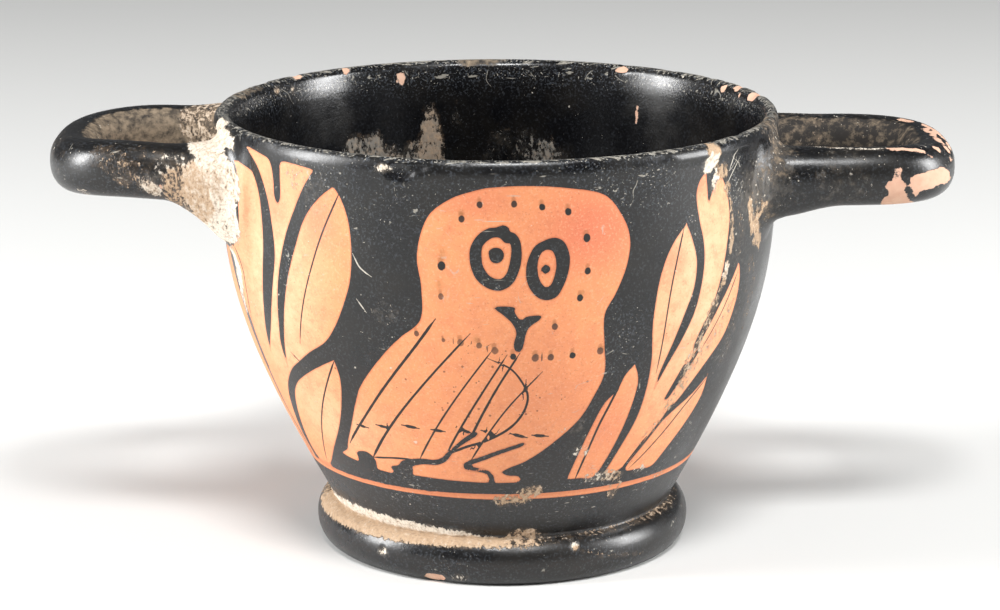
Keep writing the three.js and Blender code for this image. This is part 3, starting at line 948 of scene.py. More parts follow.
# Each eye is a ring, the opening in it and the pupil.
LEFT_EYE = [
    [(-0.4, 65.9), (1.0, 66.3), (2.0, 65.9), (2.4, 65.2), (3.3, 64.9), (4.2, 63.7), (4.5, 61.6),
     (4.2, 59.4), (2.9, 56.8), (0.7, 55.5), (-1.3, 55.6), (-3.1, 56.4), (-4.6, 57.9), (-5.4, 60.3),
     (-5.2, 62.7), (-3.6, 64.8), (-1.7, 65.8)],
    [(-1.3, 64.1), (0.3, 64.2), (1.3, 63.4), (2.3, 63.2), (2.5, 61.9), (2.2, 60.1), (1.6, 58.4),
     (0.4, 57.4), (-1.4, 57.8), (-2.7, 59.2), (-3.1, 60.8), (-2.9, 62.8)],
    [(-1.8, 61.5), (-1.6, 62.2), (-0.6, 62.6), (0.5, 62.4), (1.1, 61.7), (1.0, 60.8), (0.4, 60.2),
     (-0.5, 60.0), (-1.4, 60.4)],
]
RIGHT_EYE = [
    [(9.6, 63.9), (11.2, 64.0), (12.6, 63.3), (13.5, 61.9), (13.8, 60.0), (13.4, 57.9), (12.5, 55.8),
     (11.4, 54.3), (9.8, 53.7), (7.9, 54.0), (6.3, 55.3), (5.4, 57.1), (5.3, 59.1), (5.9, 61.1),
     (7.2, 62.9)],
    [(9.4, 62.1), (10.3, 61.9), (10.9, 60.9), (11.1, 59.3), (10.7, 57.5), (10.0, 56.2), (9.1, 55.9),
     (8.2, 56.7), (7.6, 58.1), (7.5, 59.6), (7.9, 61.1), (8.6, 61.9)],
    [(8.2, 58.9), (9.1, 59.7), (10.0, 58.9), (9.1, 58.1)],
]
BEAK = [
    (-0.9, 52.5), (0.5, 52.8), (3.1, 52.6), (3.1, 51.8), (4.3, 50.4), (5.5, 51.0), (8.2, 51.1),
    (8.0, 50.4), (6.2, 49.3), (5.4, 48.2), (4.9, 46.2), (4.5, 45.1), (3.8, 44.8), (3.1, 45.2),
    (2.9, 46.3), (3.4, 48.2), (2.6, 49.8), (1.0, 51.2),
]
OWL_BRUSHED = [
    # corners of a thick stroke, width at its start, width at its end
    ([(5.2, 27.4), (2.2, 26.6), (-1.4, 25.6), (-3.9, 24.8), (-7.4, 23.8)], 0.8, 0.95),
    ([(-7.4, 23.8), (-8.9, 23.1), (-8.2, 22.4), (-6.2, 22.3), (-4.0, 22.0), (-2.7, 21.2), (-2.4, 20.2),
      (-2.4, 19.2)], 0.95, 0.8),
    ([(-25.4, 22.3), (-20.7, 23.2), (-16.7, 23.3), (-14.2, 24.1), (-12.5, 25.5)], 1.5, 0.8),
    ([(-12.7, 25.2), (-10.4, 26.9), (-8.3, 28.2), (-6.0, 29.4)], 0.5, 1.05),
]
OWL_BLOTS = [
    [(-39.9, 22.9), (-36.5, 23.4), (-34.5, 22.4), (-34.5, 21.3), (-34.9, 20.2), (-36, 19.2),
     (-40, 19.2), (-41, 20.2), (-40.3, 21.6)],
    [(-29.9, 21.3), (-27.6, 21.8), (-25.6, 22.9), (-23.5, 23.4), (-23.4, 21.6), (-24.3, 20.0),
     (-27.9, 19.2), (-29.2, 20.0)],
]
WING_LINES = [
    # path, width at its start, width at its end
    ([(-13.0, 49.8), (-19.2, 43.2), (-31.3, 32.1), (-40.6, 24.9)], 0.5, 0.4),
    ([(-6.3, 47.5), (-16.6, 38.2), (-27.5, 28.7), (-34.2, 23.0)], 0.32, 0.5),
    ([(-1.7, 44.8), (-12.2, 33.2), (-20.4, 24.0)], 0.26, 0.34),
    ([(1.1, 43.7), (-4.7, 36.1), (-13.0, 25.6)], 0.3, 0.4),
    ([(3.7, 44.0), (-1.0, 37.6), (-6.9, 28.8)], 0.34, 0.44),
    ([(8.3, 40.6), (1.1, 33.9), (-7.2, 24.4)], 0.24, 0.32),
    ([(-34.1, 22.6), (-28, 23.2), (-23.4, 23.4)], 0.4, 0.4),
]
WING_EDGE = [
    (-1.6, 43.4), (2.4, 41.7), (5.1, 38.7), (6.0, 36.4), (5.3, 33.9), (3.3, 31.5), (0.2, 29.6),
    (-4.2, 27.9), (-8.4, 26.8), (-12.6, 25.3),
]
WING_TICKS = [
    [(-35.3, 28.7), (-33.8, 28.6)], [(-29.5, 29.4), (-27.3, 29.2)], [(-22.5, 30.1), (-20.0, 29.9)],
    [(-15.4, 29.8), (-13.8, 29.7)], [(-9.3, 30.3), (-7.2, 29.7)], [(-3.6, 30.0), (-1.6, 29.5)],
    [(3.1, 29.4), (5.4, 28.9)], [(8.2, 29.1), (10.3, 28.9)],
]
BROW_DOTS = [
    # place, size, darkness: the row over the brow, then the ruff from left to right
    ((-10.9, 59.4), 1.25, 1.0), ((-11.2, 54.3), 0.85, 0.75), ((-6.8, 67.2), 0.95, 0.95),
    ((-3.3, 69.6), 0.9, 0.95), ((3.1, 69.7), 0.9, 0.95), ((8.4, 69.1), 0.95, 1.0),
    ((13.4, 68.2), 1.05, 1.0), ((17.1, 63.7), 1.1, 1.0), ((17.4, 58.2), 0.95, 1.0),
    ((15.9, 53.8), 1.0, 1.0), ((11.0, 49.1), 0.9, 0.85), ((-16.6, 47.6), 0.8, 0.8),
    ((-11.2, 46.7), 0.6, 0.7), ((-7.7, 46.4), 1.05, 0.66), ((-4.0, 46.0), 0.9, 0.72),
    ((-0.9, 45.1), 1.1, 0.7), ((2.8, 44.0), 0.95, 1.0), ((7.3, 43.7), 1.1, 0.8),
    ((10.5, 43.7), 1.0, 0.85), ((15.0, 43.8), 1.0, 1.0), ((20.9, 44.2), 1.1, 0.8),
]
print("owl outline of", len(OWL), "corners,", len(BROW_DOTS), "dots")

# %% [markdown]
# The sprigs
# Two leafy sprigs frame the bird. The painter reserved whole clumps and then drew the leaves' ribs
# on them with dark strokes, so the clumps come first here and the strokes after.

# %% Sprigs
LEFT_CLUMP = [
    (-60.3, 71.8), (-60.3, 71.8), (-56.9, 70.6), (-54.9, 68.0), (-54.0, 64.0), (-54.3, 57.5),
    (-57.4, 48.2), (-60.0, 42.3), (-61.1, 38.9), (-61.1, 38.9), (-55.9, 45.0), (-51.4, 53.7),
    (-50.1, 58.2), (-50.6, 63.2), (-51.7, 67.2), (-54.2, 71.4), (-58.5, 74.6), (-58.5, 74.6),
    (-53.0, 74.0), (-49.9, 73.2), (-49.1, 70.1), (-49.1, 67.6), (-48.2, 66.3), (-47.2, 67.6),
    (-46.9, 71.6), (-46.2, 73.5), (-42.5, 73.6), (-37.4, 73.2), (-37.4, 73.2), (-40.4, 70.0),
    (-42.8, 66.6), (-45.9, 61.8), (-48.4, 56.7), (-50.7, 51.2), (-53.0, 44.6), (-54.4, 41.1),
    (-54.8, 37.2), (-54.8, 37.2), (-53.0, 40.9), (-50.6, 45.8), (-46.9, 53.5), (-43.9, 59.0),
    (-40.6, 64.7), (-36.7, 68.5), (-32.9, 70.9), (-32.9, 70.9), (-31.2, 68.9), (-29.8, 65.4),
    (-29.4, 60.8), (-30.1, 55.7), (-32.3, 51.1), (-35.1, 47.1), (-38.7, 43.8), (-44.1, 41.2),
    (-49.0, 38.7), (-53.9, 36.2), (-59.7, 31.8), (-63.9, 26.5), (-66.7, 21.8), (-66.9, 17.9),
    (-68.8, 17.7), (-68.4, 22.4), (-69.4, 26.0), (-69.0, 30.0), (-68.8, 34.3), (-69.2, 38.6),
    (-70.4, 46.0), (-70.2, 56.0), (-67.6, 66.0), (-63.6, 71.0),
]
LEFT_LOW_LEAF = [
    (-37.4, 40.7), (-37.4, 40.7), (-42.8, 38.6), (-47.9, 36.5), (-53.4, 33.9), (-57.5, 30.7),
    (-62.1, 24.9), (-64.7, 20.2), (-63.7, 18.1), (-59, 17.9), (-54.9, 18.6), (-45.8, 24.8),
    (-40.9, 29.6), (-38.1, 34.1), (-37.0, 37.6),
]
LEFT_OUTER_LEAF = [
    (-76.5, 58), (-76.5, 58), (-73.6, 51.5), (-71.8, 46), (-70.7, 40), (-70.3, 33), (-70.6, 27),
    (-69.8, 22), (-70.0, 17.9), (-73.5, 17.8), (-80, 21), (-84.5, 30), (-84.5, 42), (-80.5, 52),
]
RIGHT_CLUMP = [
    (44.4, 72.2), (44.4, 72.2), (42.6, 70.6), (41.9, 68.2), (42.9, 64.2), (44.2, 60.7), (44.8, 56.9),
    (44.3, 52.1), (43.2, 48.1), (40.9, 43.8), (38.5, 40.1), (36.3, 35.9), (36.3, 35.9), (36.6, 38.6),
    (38.4, 43.3), (40.6, 48.7), (42.3, 52.8), (42.6, 57.2), (41.1, 61.2), (39.4, 64.0), (39.4, 64.0),
    (36.2, 61.2), (33.9, 57.4), (32.7, 52.7), (32.5, 47.1), (33.6, 41.2), (33.9, 35.3), (33.1, 29.7),
    (29.7, 22.7), (28.4, 20.2), (30.5, 19.9), (34.2, 21.0), (38.2, 25.4), (41.6, 29.2), (43.2, 31.3),
    (44.7, 31.8), (47.7, 34.7), (51.4, 38.1), (55.9, 42.3), (57.8, 47.3), (58.1, 51.6), (57.0, 55.2),
    (57.0, 55.2), (54.7, 52.2), (51.0, 47.8), (47.9, 43.6), (45.9, 40.9), (45.3, 42.3), (46.4, 44.9),
    (48.9, 48.8), (50.7, 53.8), (51.7, 58.2), (52.3, 63.7), (50.9, 68.2), (48.7, 71.4), (48.7, 71.4),
    (46.7, 68.9), (45.4, 66.9), (44.9, 69.3),
]
RIGHT_LOW_LEAF = [
    (54.2, 35.2), (54.2, 35.2), (50.2, 32.6), (45.8, 30.6), (42.3, 28.6), (38.6, 24.7), (34.9, 20.2),
    (40, 19.6), (45.0, 19.4), (48.0, 22.0), (52.6, 27.0), (54.9, 31.3),
]
RIGHT_INNER_LEAF = [
    (29.5, 40.9), (29.5, 40.9), (27.6, 39.2), (26.2, 36.4), (23.5, 34.0), (21.1, 28.9), (18.9, 23.3),
    (17.6, 19.8), (17.6, 19.8), (21.3, 19.8), (25.1, 19.7), (27.6, 22.9), (29.9, 28.5), (31.0, 33.8),
    (31.1, 37.9),
]
SPRIG_BRUSHED = [
    # corners of a thick stroke, width at its start, width at its end
    ([(-71.6, 56), (-71.5, 52.3), (-70.6, 48.6), (-69.4, 43), (-69.2, 38), (-69.0, 34.3)], 1.5, 1.3),
    ([(44.0, 38.4), (42.4, 35.8), (40.9, 33.2)], 1.3, 0.9),
    ([(47.0, 41.0), (44.2, 37.2), (41.4, 33.6)], 0.9, 0.7),
]
LEAF_RIBS = [
    # path, width at its start
    ([(-31.8, 69.6), (-36.1, 62.9), (-39.9, 55.9), (-43.6, 48.8), (-46.4, 43.0)], 0.34),
    ([(-37.6, 40.3), (-41.5, 35.9), (-46.6, 30.4), (-52.2, 24.2), (-57.0, 18.9)], 0.34),
    ([(38.6, 62.9), (37.3, 58.5), (36.2, 53.6), (35.7, 48.1), (35.6, 39.2)], 0.34),
    ([(56.5, 52.8), (52.7, 46.9), (48.6, 41.6)], 0.28),
    ([(53.5, 34.1), (49.0, 30.7), (44.3, 26.3), (39.8, 22.6), (36.9, 20.6)], 0.36),
    ([(26.6, 37.5), (25.2, 34.2), (23.4, 30.2), (22.0, 26.0), (20.0, 19.9)], 0.5),
    ([(-64.9, 56.0), (-65.9, 48.4), (-67.3, 43.8)], 0.36),
    ([(-50.6, 39.6), (-49.1, 38.8)], 0.3),
    ([(38.0, 25.6), (35.9, 23.1), (33.8, 20.6)], 0.5),
]
SCRATCHES = [
    # hair scratches through the slip and crust left in them: path, width
    ([(-28.8, 59.6), (-27.9, 58.2), (-26.8, 57.4), (-26.0, 57.0)], 0.22),
    ([(-28.5, 52.0), (-27.6, 51.0)], 0.22), ([(53.4, 74.0), (52.0, 71.8)], 0.24),
    ([(54.6, 72.4), (52.6, 70.6), (51.4, 69.4)], 0.18), ([(-2.0, 66.9), (1.6, 66.9)], 0.1),
]
CLUMPS = [LEFT_CLUMP, LEFT_LOW_LEAF, LEFT_OUTER_LEAF, RIGHT_CLUMP, RIGHT_LOW_LEAF, RIGHT_INNER_LEAF]

# %% [markdown]
# Laying the picture on the wall
# Both sides of such a cup carry the same scene, painted freehand, so the back takes the same areas
# the other way round, but plainer: it has no wing lines, leaf ribs or rows of dots.

# %% Lay the picture
reserve = np.full(len(points), NEVER)
brushed = np.full(len(points), NEVER)
eye_holes = np.full(len(points), NEVER)
hairlines = np.tile([9.0, 0.0, 9.0], (len(points), 1))
crossing_lines = hairlines.copy()
scratches = hairlines.copy()
dots = np.full((len(points), 3), 9.0)
dot_dark = np.zeros(len(points))

for side, mirror in ((FRONT, 1), (BACK, -1)):
    for outline in [OWL, *CLUMPS]:
        add_area(reserve, outline, side, mirror)
    for ring, opening, _ in (LEFT_EYE, RIGHT_EYE):
        add_area(brushed, ring, side, mirror)
        add_area(eye_holes, opening, side, mirror)
    for corners in [BEAK, *OWL_BLOTS]:
        add_area(brushed, corners, side, mirror)
    for corners, start, end in OWL_BRUSHED + SPRIG_BRUSHED:
        add_stroke(brushed, corners, start, end, side, mirror)
brushed = np.minimum(brushed, -eye_holes)
for side, mirror in ((FRONT, 1), (BACK, -1)):
    for _, _, pupil in (LEFT_EYE, RIGHT_EYE):
        add_area(brushed, pupil, side, mirror)
for number, (corners, start, end) in enumerate(WING_LINES):
    add_hairline((hairlines, crossing_lines)[number % 2], corners, start, end, FRONT)
for corners, width in LEAF_RIBS:
    add_hairline(hairlines, corners, width, 0.7 * width, FRONT)
add_hairline(crossing_lines, WING_EDGE, 0.3, 0.55, FRONT)
for corners in WING_TICKS:
    add_hairline(crossing_lines, corners, 0.7, 0.6, FRONT)
for corners, width in SCRATCHES:
    add_hairline(scratches, corners, width, width, FRONT)
for place, size, dark in BROW_DOTS:
    add_dot(place, size, dark, FRONT)
reserve = np.minimum(reserve, -brushed)

BAND_HEIGHT = 16.8
BAND_HALF = 0.6
UNDERSIDE_RADIUS = 27.2
UNDERSIDE_TOP = 5.5
band_half = BAND_HALF + 0.14 * lattice_noise(points, 13, seed=81)
band = band_half - np.abs(height - BAND_HEIGHT) * wall_stretch
band[(beyond_wall < -1.5) | (beyond_wall > 1)] = NEVER
reserve = np.maximum(reserve, band)
underside = np.minimum(UNDERSIDE_RADIUS - out_from_axis, UNDERSIDE_TOP - height)
reserve = np.maximum(reserve, underside)
print("reserved clay on", round(float((reserve > 0).mean()), 3), "of the points")

# %% [markdown]
# Patches, blush and gloss
# The two bare patches on the right handle have outlines of their own, drawn as they are seen from
# the front. The clay isn't one orange either: it blushed pinker towards the top, where the fire
# reached it, and the leaves at the sides are painted paler, as painted light from the side lamps.
# Those are soft, so each is a number from 0 to 1.

# %% Patches, blush and gloss
front_numbers = np.flatnonzero((points[:, 0] > 55) & (points[:, 1] < -6) & (height > HANDLES_LOWEST))
for corners in RIGHT_HANDLE_PATCHES:
    outline = smooth_line(corners, closed=True, steps=3)
    x, z = points[front_numbers, 0], points[front_numbers, 2]
    away, _, _ = to_line(x, z, outline)
    inside_by = np.where(inside_of(x, z, outline), away, -away)
    bare_patch[front_numbers] = np.maximum(bare_patch[front_numbers], inside_by)

BLUSHES = [
    # bearing, height, half width, half height, strength: owl, left sprig, right sprig
    (18, 65, 15, 12, 1.0), (-4, 70, 11, 5, 0.55), (10, 38, 13, 13, 0.25),
    (-59, 64, 5, 9, 0.3), (-50, 66, 6, 9, 0.5), (-37, 65, 6, 8, 0.6),
    (43, 70, 3, 3, 0.6), (36, 58, 5, 6, 0.5), (25, 30, 8, 12, 0.4),
]
blush = sum(strength * spot(*oval) for *oval, strength in BLUSHES)
# painted side light: the clay about 48 degrees either side of the front, and the lower left leaf, is made
# paler, as if lit more from the sides
painted_side_light = 0.5 * fall(np.abs(np.abs(bearing + 4) - 48), 22) * fall(np.abs(height - 52), 36)
painted_side_light += 0.25 * spot(-42, 28, 18, 10)

# brown smears beside the owl's dots, and where dark grains show in the clay
SMEARS = [
    (-10.6, 61.4, 1.1, 2.2), (-11.4, 56.2, 0.9, 1.6), (-6.8, 68.2, 0.8, 1.2), (16.3, 54.6, 0.8, 1.2),
    (-4.6, 47.0, 0.8, 1.0), (21.4, 44.6, 0.9, 1.0),
]
smear = sum(spot(*oval) for oval in SMEARS)
GRITTY = [(-4, 36, 26, 17, 0.75), (-40, 38, 14, 14, 0.5), (36, 50, 9, 12, 0.3)]
gritty = 0.25 + sum(strength * spot(*oval) for *oval, strength in GRITTY)
matte = 0.2 * fall(np.abs(height - 76.7), 1.0) - 0.25 * inside_share + 0.25 * handle_share * faces_hole
print("bare patches on", round(float((bare_patch > 0).mean()), 4), "of the points")

# %% [markdown]
# Handing the layers over
# An attribute keeps one number, or one vector, at each point of the mesh, and a material reads it
# by name. It belongs to the mesh, so nothing painted can slide on it.

# %% Store the layers on the mesh
LAYERS = {
    "reserve": reserve, "flaked": bare_patch, "crust": crust_mm, "tone": tone, "dirt": dirt, "dust": dust,
    "wear_and_sheen": np.clip(wear_and_sheen, 0, 1), "blush": np.clip(blush, 0, 1), "painted_side_light": np.clip(painted_side_light, 0, 1),
    "smear": np.clip(smear, 0, 1), "gritty": np.clip(gritty, 0, 1), "matte": np.clip(matte, -1, 1),
    "hairlines": hairlines, "crossing_lines": crossing_lines, "scratches": scratches, "dots": dots,
    "dot_dark": dot_dark,
}
for name, values in LAYERS.items():
    kind = "FLOAT" if values.ndim == 1 else "FLOAT_VECTOR"
    layer = cup.data.attributes.new(name, kind, "POINT")
    field = "value" if values.ndim == 1 else "vector"
    layer.data.foreach_set(field, values.astype(np.float32).ravel())
cup.data.shade_smooth()
print("layers:", ", ".join(LAYERS))

# %% [markdown]
# Unrolling for a texture
# The finished surface may be baked to one square picture for other programs. The UV map decides
# what gets the most of it: the painted front is unrolled across the top, the back lies under it,
# and inside, underside and handles share the strip that is left.

# %% UV map
FRONT_STRIP = (0.57, 0.42)
BACK_STRIP = (0.36, 0.20)
DISC_RADIUS = 0.165
INSIDE_DISC = (0.17, 0.175)
FOOT_DISC = (0.51, 0.175)
HANDLE_CELL = 0.155
HANDLE_CORNER = (0.685, 0.02)
HANDLE_STEP = (0.158, 0.165)
HANDLE_START = 40
HANDLE_LONG = 42
HANDLE_WIDE = 54
STRIP_DEGREES = 192
LIP_SEAM = 76.0
FOOT_MIDDLE = (29.9, 3.9)
FOOT_FLAT = 31
FOOT_START = -74

loops = np.empty(len(cup.data.loops), np.int64)
cup.data.loops.foreach_get("vertex_index", loops)
totals = np.empty(len(cup.data.polygons), np.int64)
cup.data.polygons.foreach_get("loop_total", totals)
face_of_loop = np.repeat(np.arange(len(totals)), totals)


def face_mean(values):
    """Mean of a number over each face's corners, given back for each corner."""
    sums = np.bincount(face_of_loop, weights=values[loops], minlength=len(totals))
    return (sums / totals)[face_of_loop]


def strip(middle, place):
    """The wall unrolled: bearing across, height up, into a strip (lowest v, height)."""
    across = 0.5 + around(bearing[loops], middle) / STRIP_DEGREES
    up = place[0] + place[1] * np.clip((height[loops] - GROOVE[1]) / (HEIGHT - GROOVE[1]), 0, 1)
    return np.stack([across, up], 1)


def disc(middle, distance):
    """A round surface laid flat: the bearing stays, and the radius is a share of the disc, which
    grows all the way along the profile, so that nothing overlaps."""
    angle = np.radians(bearing[loops])
    reach = DISC_RADIUS * distance[loops]
    return np.stack([middle[0] + reach * np.sin(angle), middle[1] + reach * np.cos(angle)], 1)


def plan(cell, side, turn):
    """A handle seen from above, or from below when turn is -1, in one cell of the corner."""
    x = (points[loops, 0] * side - HANDLE_START) / HANDLE_LONG
    y = (points[loops, 1] * turn + HANDLE_WIDE / 2) / HANDLE_WIDE
    low = np.array(HANDLE_CORNER) + np.array(HANDLE_STEP) * cell
    return low + HANDLE_CELL * np.stack([x, y], 1)


up_facing = face_mean(normals[:, 2])
face_front = face_mean((np.abs(bearing) < 90).astype(float)) > 0.5
face_handle = face_mean(handle_share) > 0.5
inner = (beyond_wall < INNER_SKIN) & (height > INSIDE_FROM) | (height > LIP_SEAM)
face_inside = face_mean(inner.astype(float)) > 0.5
face_foot = ~face_inside & (face_mean(height) < GROOVE[1])
inside_reach = (np.clip(height - FLOOR_HEIGHT, 0, None) + 1.15 * np.minimum(out_from_axis, 50)) / 126
foot_turn = np.degrees(np.arctan2(height - FOOT_MIDDLE[1], out_from_axis - FOOT_MIDDLE[0]))
round_foot = FOOT_FLAT + 0.05 * (foot_turn - FOOT_START)
on_foot_side = (out_from_axis > 28) & (foot_turn > FOOT_START)
foot_reach = np.where(on_foot_side, round_foot, np.minimum(out_from_axis, FOOT_FLAT)) / 40

uv = np.where(face_front[:, None], strip(FRONT, FRONT_STRIP), strip(BACK, BACK_STRIP))
uv = np.where(face_inside[:, None], disc(INSIDE_DISC, np.clip(inside_reach, 0, 1)), uv)
uv = np.where(face_foot[:, None], disc(FOOT_DISC, np.clip(foot_reach, 0, 1)), uv)
for side, column in ((-1, 0), (1, 1)):
    mine = face_handle & (np.sign(points[loops, 0]) == side)
    for row, turn, faces_so in ((0, 1, up_facing > 0), (1, -1, up_facing <= 0)):
        uv = np.where((mine & faces_so)[:, None], plan((column, row), side, turn), uv)
bake_map = cup.data.uv_layers.new(name="OFBake")
bake_map.data.foreach_set("uv", uv.astype(np.float32).ravel())
print("UV from", uv.min(axis=0).round(3), "to", uv.max(axis=0).round(3))

# %% [markdown]
# Colours and nodes
# A material is a small network of nodes. One function adds any node with its settings and links,
# and colours are written as on a paint chart and turned to the linear light that Blender wants.

# %% Colour and node helpers
def linear(code):
    """An sRGB hex colour as linear red, green, blue and alpha: below 0.04045 divide by 12.92, and
    above it raise (c + 0.055) / 1.055 to 2.4."""
    shares = [int(code[n:n + 2], 16) / 255 for n in (1, 3, 5)]
    return (*[c / 12.92 if c <= 0.04045 else ((c + 0.055) / 1.055) ** 2.4 for c in shares], 1)


fired = bpy.data.materials.new("glossed_and_reserved_clay")
fired.use_nodes = True
nodes = fired.node_tree
nodes.nodes.clear()


def add(kind, inputs=None, output=0, **settings):
    """Adds a node and gives back one of its outputs. Settings are the node's own properties. Inputs
    fill its sockets, by name or number, with a number, a hex colour or another node's output."""
    node = nodes.nodes.new("ShaderNode" + kind)
    for name, value in settings.items():
        setattr(node, name, value)
    for socket, value in (inputs or {}).items():
        if isinstance(value, bpy.types.NodeSocket):
            nodes.links.new(value, node.inputs[socket])
        else:
            node.inputs[socket].default_value = linear(value) if isinstance(value, str) else value
    return node.outputs[output] if node.outputs else None


def per(size):
    """The Scale that makes a pattern's cells `size` mm wide."""
    return 1 / (size * MM)


# %% [markdown]
# Noise patterns on the real scale
# Each pattern takes its size from something on the cup: the wear of the slip shows as specks of a
# third of a mm (real ones are finer, but would vanish in a picture), lime breaks into crumbs of
# under one mm, and the firing clouded the slip over a centimetre or so. All of them read the
# object's own coordinates, so they stay on the cup.

# %% Patterns
place = add("TexCoord", output="Object")
NOISES = [
    # cell in mm, detail, roughness: specks, grain, crumbs, blots and clouds
    (0.36, 1, 0.5), (0.42, 2.5, 0.6), (1.5, 6, 0.68), (3.4, 5, 0.62), (11, 4, 0.6),
]
stipple, grain, crumb, blots, clouds = (
    add("TexNoise", {"Vector": place, "Scale": per(size), "Detail": detail, "Roughness": roughness})
    for size, detail, roughness in NOISES
)
upright = add("Mapping", {"Vector": place, "Scale": (1, 1, 0.62)})
crumble = add("TexNoise", {"Vector": upright, "Scale": per(0.75), "Detail": 6, "Roughness": 0.7})
level = add("Mapping", {"Vector": place, "Scale": (0.05, 0.05, 1)})
wheel_marks = add("TexNoise", {"Vector": level, "Scale": per(1.2), "Detail": 3})
stored = {name: add("Attribute", output="Fac", attribute_name=name)
          for name, values in LAYERS.items() if values.ndim == 1}


def torn(soft, pattern, amount, low, high, most=1):
    """A soft layer cut between low and high after a pattern has shifted it up and down by half the
    amount, so that its edge is frayed where the layer is soft. It goes from 0 up to `most`."""
    shifted = add("Math", {0: pattern, 1: amount, 2: soft}, operation="MULTIPLY_ADD")
    limits = {"Value": shifted, "From Min": low + amount / 2, "From Max": high + amount / 2}
    return add("MapRange", limits | {"To Max": most}, interpolation_type="SMOOTHSTEP")


def inside_line(name, pattern):
    """1 on a stored hairline: its half width, pressed by a pattern, less the distance to it. Half
    way between two lines the stored distance passes through 0 as well, so the plain distance has
    to be small too."""
    parts = add("Attribute", output="Vector", attribute_name=name)
    signed = add("SeparateXYZ", {0: parts})
    half_width, plain = signed.node.outputs[1:]
    pressed = add("Math", {0: pattern, 1: 0.6, 2: 0.7}, operation="MULTIPLY_ADD")
    pressed = add("Math", {0: pressed, 1: half_width}, operation="MULTIPLY")
    distance = add("Math", {0: signed}, operation="ABSOLUTE")
    spare = add("Math", {0: pressed, 1: distance}, operation="SUBTRACT")
    drawn = add("MapRange", {"Value": spare, "From Min": -0.04, "From Max": 0.03})
    close = add("Math", {0: plain, 1: 0.8}, operation="LESS_THAN")
    return add("Math", {0: drawn, 1: close}, operation="MULTIPLY")


# %% [markdown]
# Reserved clay
# The body is iron-rich clay, fired orange and nearly matt, with dark grains in it. The painter's
# dilute contour left a thin redder rim round each figure. The dots of the plumage were set with
# the tip of the brush, and each has a brownish wisp above it where the slip was thin.

# %% Reserved clay
# a Mix node for colours: socket 0 is the share, and 6 and 7 are the two colours
COLOUR = dict(output=2, data_type="RGBA")
bare = torn(stored["reserve"], crumb, 0.16, -0.03, 0.03)
# the clay is paler where the painted side light falls, then pinker where it blushed
clay = add("Mix", {0: stored["painted_side_light"], 6: "#E0905F", 7: "#EBCDA8"}, **COLOUR)
clay = add("Mix", {0: stored["blush"], 6: clay, 7: "#CE7150"}, **COLOUR)
MOTTLES = [
    # pattern, where the colour starts, where it is strongest, how strong, colour
    (blots, 0.42, 0.72, 0.55, "#D07E57"), (crumb, 0.5, 0.72, 0.42, "#C4704C"),
    (grain, 0.52, 0.8, 0.3, "#F3CDA8"), (stipple, 0.38, 0.2, 0.5, "#A85C3C"),
]
for pattern, start, strongest, most, colour in MOTTLES:
    limits = {"Value": pattern, "From Min": start, "From Max": strongest, "To Max": most}
    share = add("MapRange", limits)
    clay = add("Mix", {0: share, 6: clay, 7: colour}, **COLOUR)

grits = add("TexVoronoi", {"Vector": place, "Scale": per(1.4), "Randomness": 1.0})
gritty = add("Math", {0: stored["gritty"], 1: 0.3, 2: blots}, operation="MULTIPLY_ADD")
grit_size = add("MapRange", {"Value": gritty, "From Min": 0.58, "From Max": 0.95, "To Max": 0.24})
grit = add("Math", {0: grits, 1: grit_size}, operation="LESS_THAN")
grit = add("Math", {0: grit, 1: 0.72}, operation="MULTIPLY")
smeared = add("Math", {0: stored["smear"], 1: crumb}, operation="MULTIPLY")
rim = torn(stored["reserve"], crumb, 0.2, 0.34, 0.08, most=0.4)

dot_place = add("Attribute", output="Vector", attribute_name="dots")
dot_near = add("SeparateXYZ", {0: dot_place}, output=2)
dot_close = add("Math", {0: dot_near, 1: 1.4}, operation="LESS_THAN")
dot_flat = add("VectorMath", {0: dot_place, 1: (1, 0.85, 0)}, operation="MULTIPLY")
dot_away = add("VectorMath", {0: dot_flat}, output=1, operation="LENGTH")
dot = torn(dot_away, crumb, -0.5, 0.6, 0.46)
dot = add("Math", {0: dot, 1: dot_close}, operation="MULTIPLY")
dot = add("Math", {0: dot, 1: stored["dot_dark"]}, operation="MULTIPLY")
wisp_flat = {0: dot_place, 1: (1.3, 0.7, 0), 2: (0.12, -0.5, 0)}
wisp_flat = add("VectorMath", wisp_flat, operation="MULTIPLY_ADD")
wisp_away = add("VectorMath", {0: wisp_flat}, output=1, operation="LENGTH")
wisp = torn(wisp_away, crumb, -0.6, 0.75, 0.2, most=0.5)
wisp = add("Math", {0: wisp, 1: dot_close}, operation="MULTIPLY")
brushed_lines = [inside_line(name, crumb) for name in ("hairlines", "crossing_lines")]
stroke = add("Math", {0: brushed_lines[0], 1: brushed_lines[1]}, operation="MAXIMUM")
stroke = add("Math", {0: stroke, 1: dot}, operation="MAXIMUM")
ON_CLAY = [
    (grit, "#6B3A22"), (smeared, "#8A5A1E"), (rim, "#A84A2A"), (wisp, "#8A4F22"), (stroke, "#14110F"),
]
for share, colour in ON_CLAY:
    clay = add("Mix", {0: share, 6: clay, 7: colour}, **COLOUR)

# %% [markdown]
# Black gloss slip
# A very fine clay slip, a hundredth or two of a mm thick, sintered to a soft gloss. It isn't one
# black: it clouds to brown where it was thin, it carries bright bluish-grey grain that is a painted
# sheen, and it is covered with hair scratches and crumbs of lime. The scratches are where a noise
# passes through its middle value, which gives thin curved lines, and another noise breaks them up.

# %% Black gloss slip
thin_slip = add("MapRange", {"Value": clouds, "From Min": 0.42, "From Max": 0.72})
slip = add("Mix", {0: thin_slip, 6: "#09090B", 7: "#16130F"}, **COLOUR)
